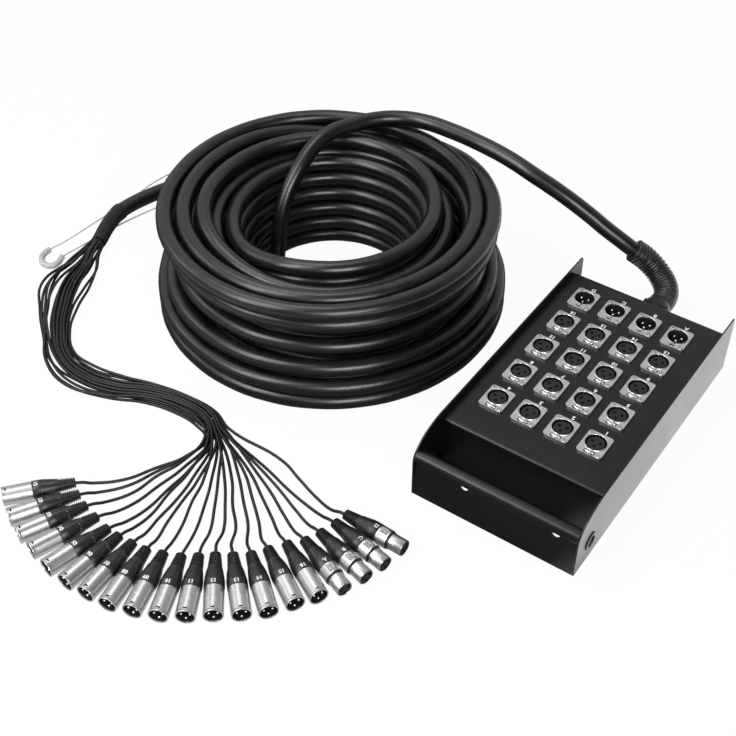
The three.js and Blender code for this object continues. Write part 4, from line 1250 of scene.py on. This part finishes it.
# %% Dust on what faces up
dust, given, out = effect("dust", {"Amount": 0.1, "Scale": 60}, "Mask")
up = node(dust, "SeparateXYZ", {0: node(dust, "NewGeometry").outputs["Normal"]}).outputs["Z"]
specks = between(dust, noise(dust, given["Scale"], 6, Roughness=0.7), 0.4, 0.75)
settled = times(dust, between(dust, up, 0.3, 1), specks)
dust.links.new(times(dust, settled, given["Amount"]), out["Mask"])
print("group:", dust.name)

# %% Light scratches
scratches, given, out = effect("scuffs", {"Amount": 0.3, "Scale": 40}, "Mask")
streaks = noise(scratches, given["Scale"], 2, squash=(1, 14, 9), Distortion=0.4)
other = noise(scratches, given["Scale"], 2, squash=(16, 1, 11), Distortion=0.6)
lines = times(scratches, between(scratches, streaks, 0.66, 0.7), between(scratches, other, 0.66, 0.7),
              "MAXIMUM")
scratches.links.new(times(scratches, lines, given["Amount"]), out["Mask"])
print("group:", scratches.name)

# %% Turning marks round an upright axis
marks, given, out = effect("turning marks", {"Scale": 900, "Depth": 0.000004}, "Height")
ring_noise = noise(marks, given["Scale"], 3, squash=(0.02, 0.02, 1))
height = node(marks, "Math", {0: ring_noise, 1: given["Depth"]}, operation="MULTIPLY").outputs[0]
marks.links.new(height, out["Height"])
print("effects:", [each.name for each in bpy.data.node_groups])

# %% [markdown]
# ## Finishes
# Every material starts from the same recipe: two close colours in patches, gloss in patches, worn
# edges and dust in their own colours, and a bump from grain. Numbers that are the same all over are
# set on the shader itself.


# %% The recipe of a finish
def placed(tree, group, **inputs):
    """A node group placed in a material with its own values. Gives back its output."""
    fresh = tree.nodes.new("ShaderNodeGroup")
    fresh.node_tree = group
    for label, value in inputs.items():
        fresh.inputs[label].default_value = value
    return fresh.outputs[0]


def mixed(tree, share, first, second):
    """Two colours mixed by a mask. Each is a socket or a (red, green, blue) colour."""
    colour = node(tree, "Mix", {"Factor": share}, data_type="RGBA")
    for socket, value in ((colour.inputs[6], first), (colour.inputs[7], second)):
        if isinstance(value, bpy.types.NodeSocket):
            tree.links.new(value, socket)
        else:
            socket.default_value = (*value, 1)
    return colour.outputs[2]


def grey(level, warmth=0):
    """A grey, a little warm or cool."""
    return level * (1 + warmth), level, level * (1 - warmth)


DUST_COLOUR = grey(0.3, 0.06)


def make_finish(name, dark, light, gloss, patch=30, heights=(), worn=None, dusty=0, scuffed=0,
                **constants):
    """Fills in a material: colours in patches, gloss from low to high, wear, dust and bump.

    Worn edges are a colour and an amount. Heights are a group, its scale and its depth in metres.
    """
    material = finish(name)
    material.use_nodes = True
    tree = material.node_tree
    shader = tree.nodes["Principled BSDF"]
    for label, number in constants.items():
        shader.inputs[label.replace("_", " ")].default_value = number
    colour = mixed(tree, placed(tree, patches, Scale=patch * 1.7, Low=0, High=1), dark, light)
    rough = placed(tree, patches, Scale=patch, Low=gloss[0], High=gloss[1])
    if scuffed:
        mask = placed(tree, scratches, Amount=scuffed)
        rough = times(tree, rough, times(tree, mask, 0.5), "ADD")
        pale = tuple(min(1, 4 * part + 0.02) for part in light)
        colour = mixed(tree, times(tree, mask, 0.25), colour, pale)
    if worn:
        mask = placed(tree, edges, Amount=worn[1])
        colour = mixed(tree, mask, colour, worn[0])
    if dusty:
        mask = placed(tree, dust, Amount=dusty)
        colour = mixed(tree, mask, colour, DUST_COLOUR)
        rough = times(tree, rough, times(tree, mask, 0.4), "ADD")
    tree.links.new(colour, shader.inputs["Base Color"])
    tree.links.new(rough, shader.inputs["Roughness"])
    height = None
    for group, scale, depth in heights:
        step = placed(tree, group, Scale=scale, Depth=depth)
        if height is not None:
            step = node(tree, "Math", {0: height, 1: step}, operation="ADD").outputs[0]
        height = step
    if height is not None:
        bump = node(tree, "Bump", {"Height": height, "Strength": 1, "Distance": 1})
        tree.links.new(bump.outputs["Normal"], shader.inputs["Normal"])


# %% [markdown]
# ### Rubber, nylon and paint
# Black things differ mostly in gloss. A cable jacket is smooth and a little wavy, because the cores
# inside press through. Powder paint has a fine orange peel, and nylon and rubber are duller.

# %% Black finishes
make_finish("cable jacket", grey(0.003, -0.05), grey(0.0045, -0.05), (0.28, 0.36), patch=22, dusty=0.03,
            scuffed=0.2, heights=[(grain, 1400, 0.00003), (grain, 30, 0.0003)],
            IOR=1.5, Specular_IOR_Level=0.7)
make_finish("tail jacket", grey(0.004), grey(0.006), (0.4, 0.5), patch=40, dusty=0.04,
            heights=[(grain, 2200, 0.00002), (grain, 120, 0.0001)], IOR=1.5, Specular_IOR_Level=0.45)
make_finish("black paint", grey(0.003), grey(0.0045), (0.28, 0.34), patch=9, worn=(grey(0.14), 0.35),
            dusty=0.02, scuffed=0.1, heights=[(grain, 1500, 0.000012), (grain, 500, 0.00002)],
            IOR=1.45, Specular_IOR_Level=0.45)
make_finish("black nylon", grey(0.009), grey(0.013), (0.4, 0.52), patch=60, worn=(grey(0.05), 0.4),
            dusty=0.04, heights=[(grain, 2600, 0.00002)], IOR=1.45, Specular_IOR_Level=0.35)
make_finish("socket insert", grey(0.008), grey(0.013), (0.42, 0.55), patch=80, dusty=0.03,
            heights=[(grain, 2600, 0.00001)], IOR=1.45, Specular_IOR_Level=0.35)
make_finish("soft rubber", grey(0.006), grey(0.01), (0.32, 0.44), patch=70, worn=(grey(0.06), 0.3),
            dusty=0.05, heights=[(grain, 2400, 0.00003)], IOR=1.5, Specular_IOR_Level=0.6)
make_finish("shrink sleeve", grey(0.008), grey(0.012), (0.3, 0.42), patch=60, dusty=0.04,
            heights=[(grain, 160, 0.0004), (grain, 1800, 0.00002)], IOR=1.45, Specular_IOR_Level=0.35)
print("finishes named so far:", len(bpy.data.materials))

# %% [markdown]
# ### Metal and print
# Flanges are cast and plated, so they are slightly uneven. Plug shells are turned on a lathe, and
# fine rings are left round their axis. The print is a thin matt ink.

# %% Bright finishes
make_finish("flange nickel", grey(0.58, 0.01), grey(0.7, 0.012), (0.26, 0.38), patch=90,
            worn=(grey(0.9), 0.8), scuffed=0.3, heights=[(grain, 700, 0.00002)], Metallic=1)
make_finish("plug nickel", grey(0.5, 0.012), grey(0.58, 0.012), (0.34, 0.39), patch=70,
            worn=(grey(0.8), 0.4), scuffed=0.1, heights=[(marks, 900, 0.0000012)], Metallic=1)
make_finish("contact metal", grey(0.8, 0.02), grey(0.9, 0.02), (0.18, 0.26), patch=200, scuffed=0.2,
            heights=[(marks, 2500, 0.000006)], Metallic=1)
make_finish("screw metal", grey(0.5, 0.01), grey(0.62, 0.01), (0.28, 0.4), patch=300,
            worn=(grey(0.8), 0.6), heights=[(marks, 3000, 0.000008)], Metallic=1)
make_finish("steel wire", grey(0.6), grey(0.7), (0.5, 0.6), patch=120, scuffed=0.4,
            heights=[(grain, 1500, 0.00003)], Metallic=0.4)
make_finish("clear plastic", grey(0.62), grey(0.74), (0.2, 0.3), patch=60,
            heights=[(grain, 300, 0.00006)], IOR=1.45, Transmission_Weight=0.45)
make_finish("white print", grey(0.72), grey(0.84), (0.5, 0.6), patch=300,
            heights=[(grain, 2500, 0.00001)], IOR=1.45)
print("finishes named so far:", len(bpy.data.materials))

# %% Finish the solid that stays as it is
locknut = bpy.data.objects["gland_locknut"]
for place in locknut.material_slots:
    place.material = finish("black nylon")
print("finishes:", len(bpy.data.materials))

# %% [markdown]
# ## Floor
# The object stands on a white sweep that shows almost no shadow, as in a catalogue photograph. The
# camera sees the floor as plain white. Other rays see pale paper, so the floor lights the object from
# below no more than paper would. What a shiny surface mirrors is chosen by place: the floor is bright
# to the right of the box, dark in front of it and round the coil, and fairly bright round the plugs,
# as the reflections in the photograph show it.

# %% Floor
FLOOR = 6
MIRRORED_BRIGHT, MIRRORED_PLUGS, MIRRORED_DARK = 1.95, 0.8, 0.1
floor_mesh = bpy.data.meshes.new("floor")
floor_mesh.from_pydata([(-FLOOR, -FLOOR, 0), (FLOOR, -FLOOR, 0), (FLOOR, FLOOR, 0), (-FLOOR, FLOOR, 0)],
                       [], [(0, 1, 2, 3)])
floor = bpy.data.objects.new("floor", floor_mesh)
bpy.context.scene.collection.objects.link(floor)


def seen_directly(tree):
    """1 for rays from the camera, from a mirror and through clear plastic, and 0 for the others."""
    path = node(tree, "LightPath").outputs
    return times(tree, times(tree, path["Is Camera Ray"], path["Is Glossy Ray"], "ADD"),
                 path["Is Transmission Ray"], "ADD")


# %% Floor paper
paper = finish("floor paper")
paper.use_nodes = True
paper_tree = paper.node_tree
paper_tree.nodes.clear()
matt = node(paper_tree, "BsdfDiffuse", {"Color": (0.85, 0.85, 0.85, 1)}).outputs[0]
where = node(paper_tree, "NewGeometry").outputs["Position"]
to_right = node(paper_tree, "VectorMath", {0: where, 1: (1, 0.35, 0)},
                operation="DOT_PRODUCT").outputs["Value"]
places = node(paper_tree, "SeparateXYZ", {0: where}).outputs
in_front = between(paper_tree, places["Y"], -0.22, -0.32, MIRRORED_DARK, MIRRORED_PLUGS)
at_plugs = between(paper_tree, places["X"], 0, -0.1, MIRRORED_DARK, in_front)
mirrored = between(paper_tree, to_right, 0, 0.06, at_plugs, MIRRORED_BRIGHT)
mirror_ray = node(paper_tree, "LightPath").outputs["Is Glossy Ray"]
strength = node(paper_tree, "Mix", {0: mirror_ray, 2: 1, 3: mirrored}).outputs[0]
glow = node(paper_tree, "Emission", {"Color": (1, 1, 1, 1), "Strength": strength}).outputs[0]
share = times(paper_tree, seen_directly(paper_tree), 0.95)
both = node(paper_tree, "MixShader", {0: share, 1: matt, 2: glow}).outputs[0]
node(paper_tree, "OutputMaterial", {"Surface": both})
floor_mesh.materials.append(paper)
print("floor width in metres:", 2 * FLOOR)

# %% [markdown]
# ## Surroundings
# The world round the floor is white for the camera and gives a soft, even light to everything else.
# A shiny surface sees it dark in front and brighter behind, so that metal and paint get dark and
# light sides. One flat white would make them look like plastic.

# %% Surroundings
world = bpy.data.worlds.new("studio")
bpy.context.scene.world = world
world.use_nodes = True
sky = world.node_tree
sky.nodes.clear()
way = node(sky, "TexCoord").outputs["Generated"]
behind = node(sky, "VectorMath", {0: way, 1: (-0.45, 0.89, 0)}, operation="DOT_PRODUCT").outputs["Value"]
sweep = between(sky, behind, -0.2, 0.6, 0.04, 0.6)
wide = node(sky, "Background", {"Color": (1, 1, 1, 1), "Strength": 0.3}).outputs[0]
reflected = node(sky, "Background", {"Color": (1, 1, 1, 1), "Strength": sweep}).outputs[0]
white = node(sky, "Background", {"Color": (1, 1, 1, 1), "Strength": 1}).outputs[0]
path = node(sky, "LightPath").outputs
lit = node(sky, "MixShader", {0: path["Is Glossy Ray"], 1: wide, 2: reflected}).outputs[0]
direct = times(sky, path["Is Camera Ray"], path["Is Transmission Ray"], "ADD")
seen = node(sky, "MixShader", {0: direct, 1: lit, 2: white}).outputs[0]
node(sky, "OutputWorld", {"Surface": seen})
print("world:", world.name)

# %% [markdown]
# ## Softboxes
# Four large lamps stand round the object. The two in front are the strong ones and draw the bright
# edges on the cords. The one above and the one on the left only fill the dark sides.

# %% Softboxes
LOOKED_AT = Vector((-0.25, 0, 0))


def softbox(name, place, size, tall, power):
    """A lamp of that width and height that looks at the middle of the object."""
    lamp = bpy.data.lights.new(name, "AREA")
    lamp.shape = "RECTANGLE"
    lamp.energy, lamp.size, lamp.size_y = power, size, tall
    lamp_object = bpy.data.objects.new(name, lamp)
    bpy.context.scene.collection.objects.link(lamp_object)
    lamp_object.location = place
    lamp_object.rotation_euler = (LOOKED_AT - Vector(place)).to_track_quat("-Z", "Y").to_euler()


softbox("overhead", (-0.85, 0.1, 1.8), 1, 1, 9)
softbox("left side", (-1.9, -0.7, 1.1), 0.9, 0.9, 5)
softbox("front left", (-0.85, -1.5, 1.6), 0.7, 1.7, 30)
softbox("front right", (0.95, -1.25, 1.05), 0.8, 0.8, 20)
bpy.context.scene.view_settings.view_transform = "Standard"
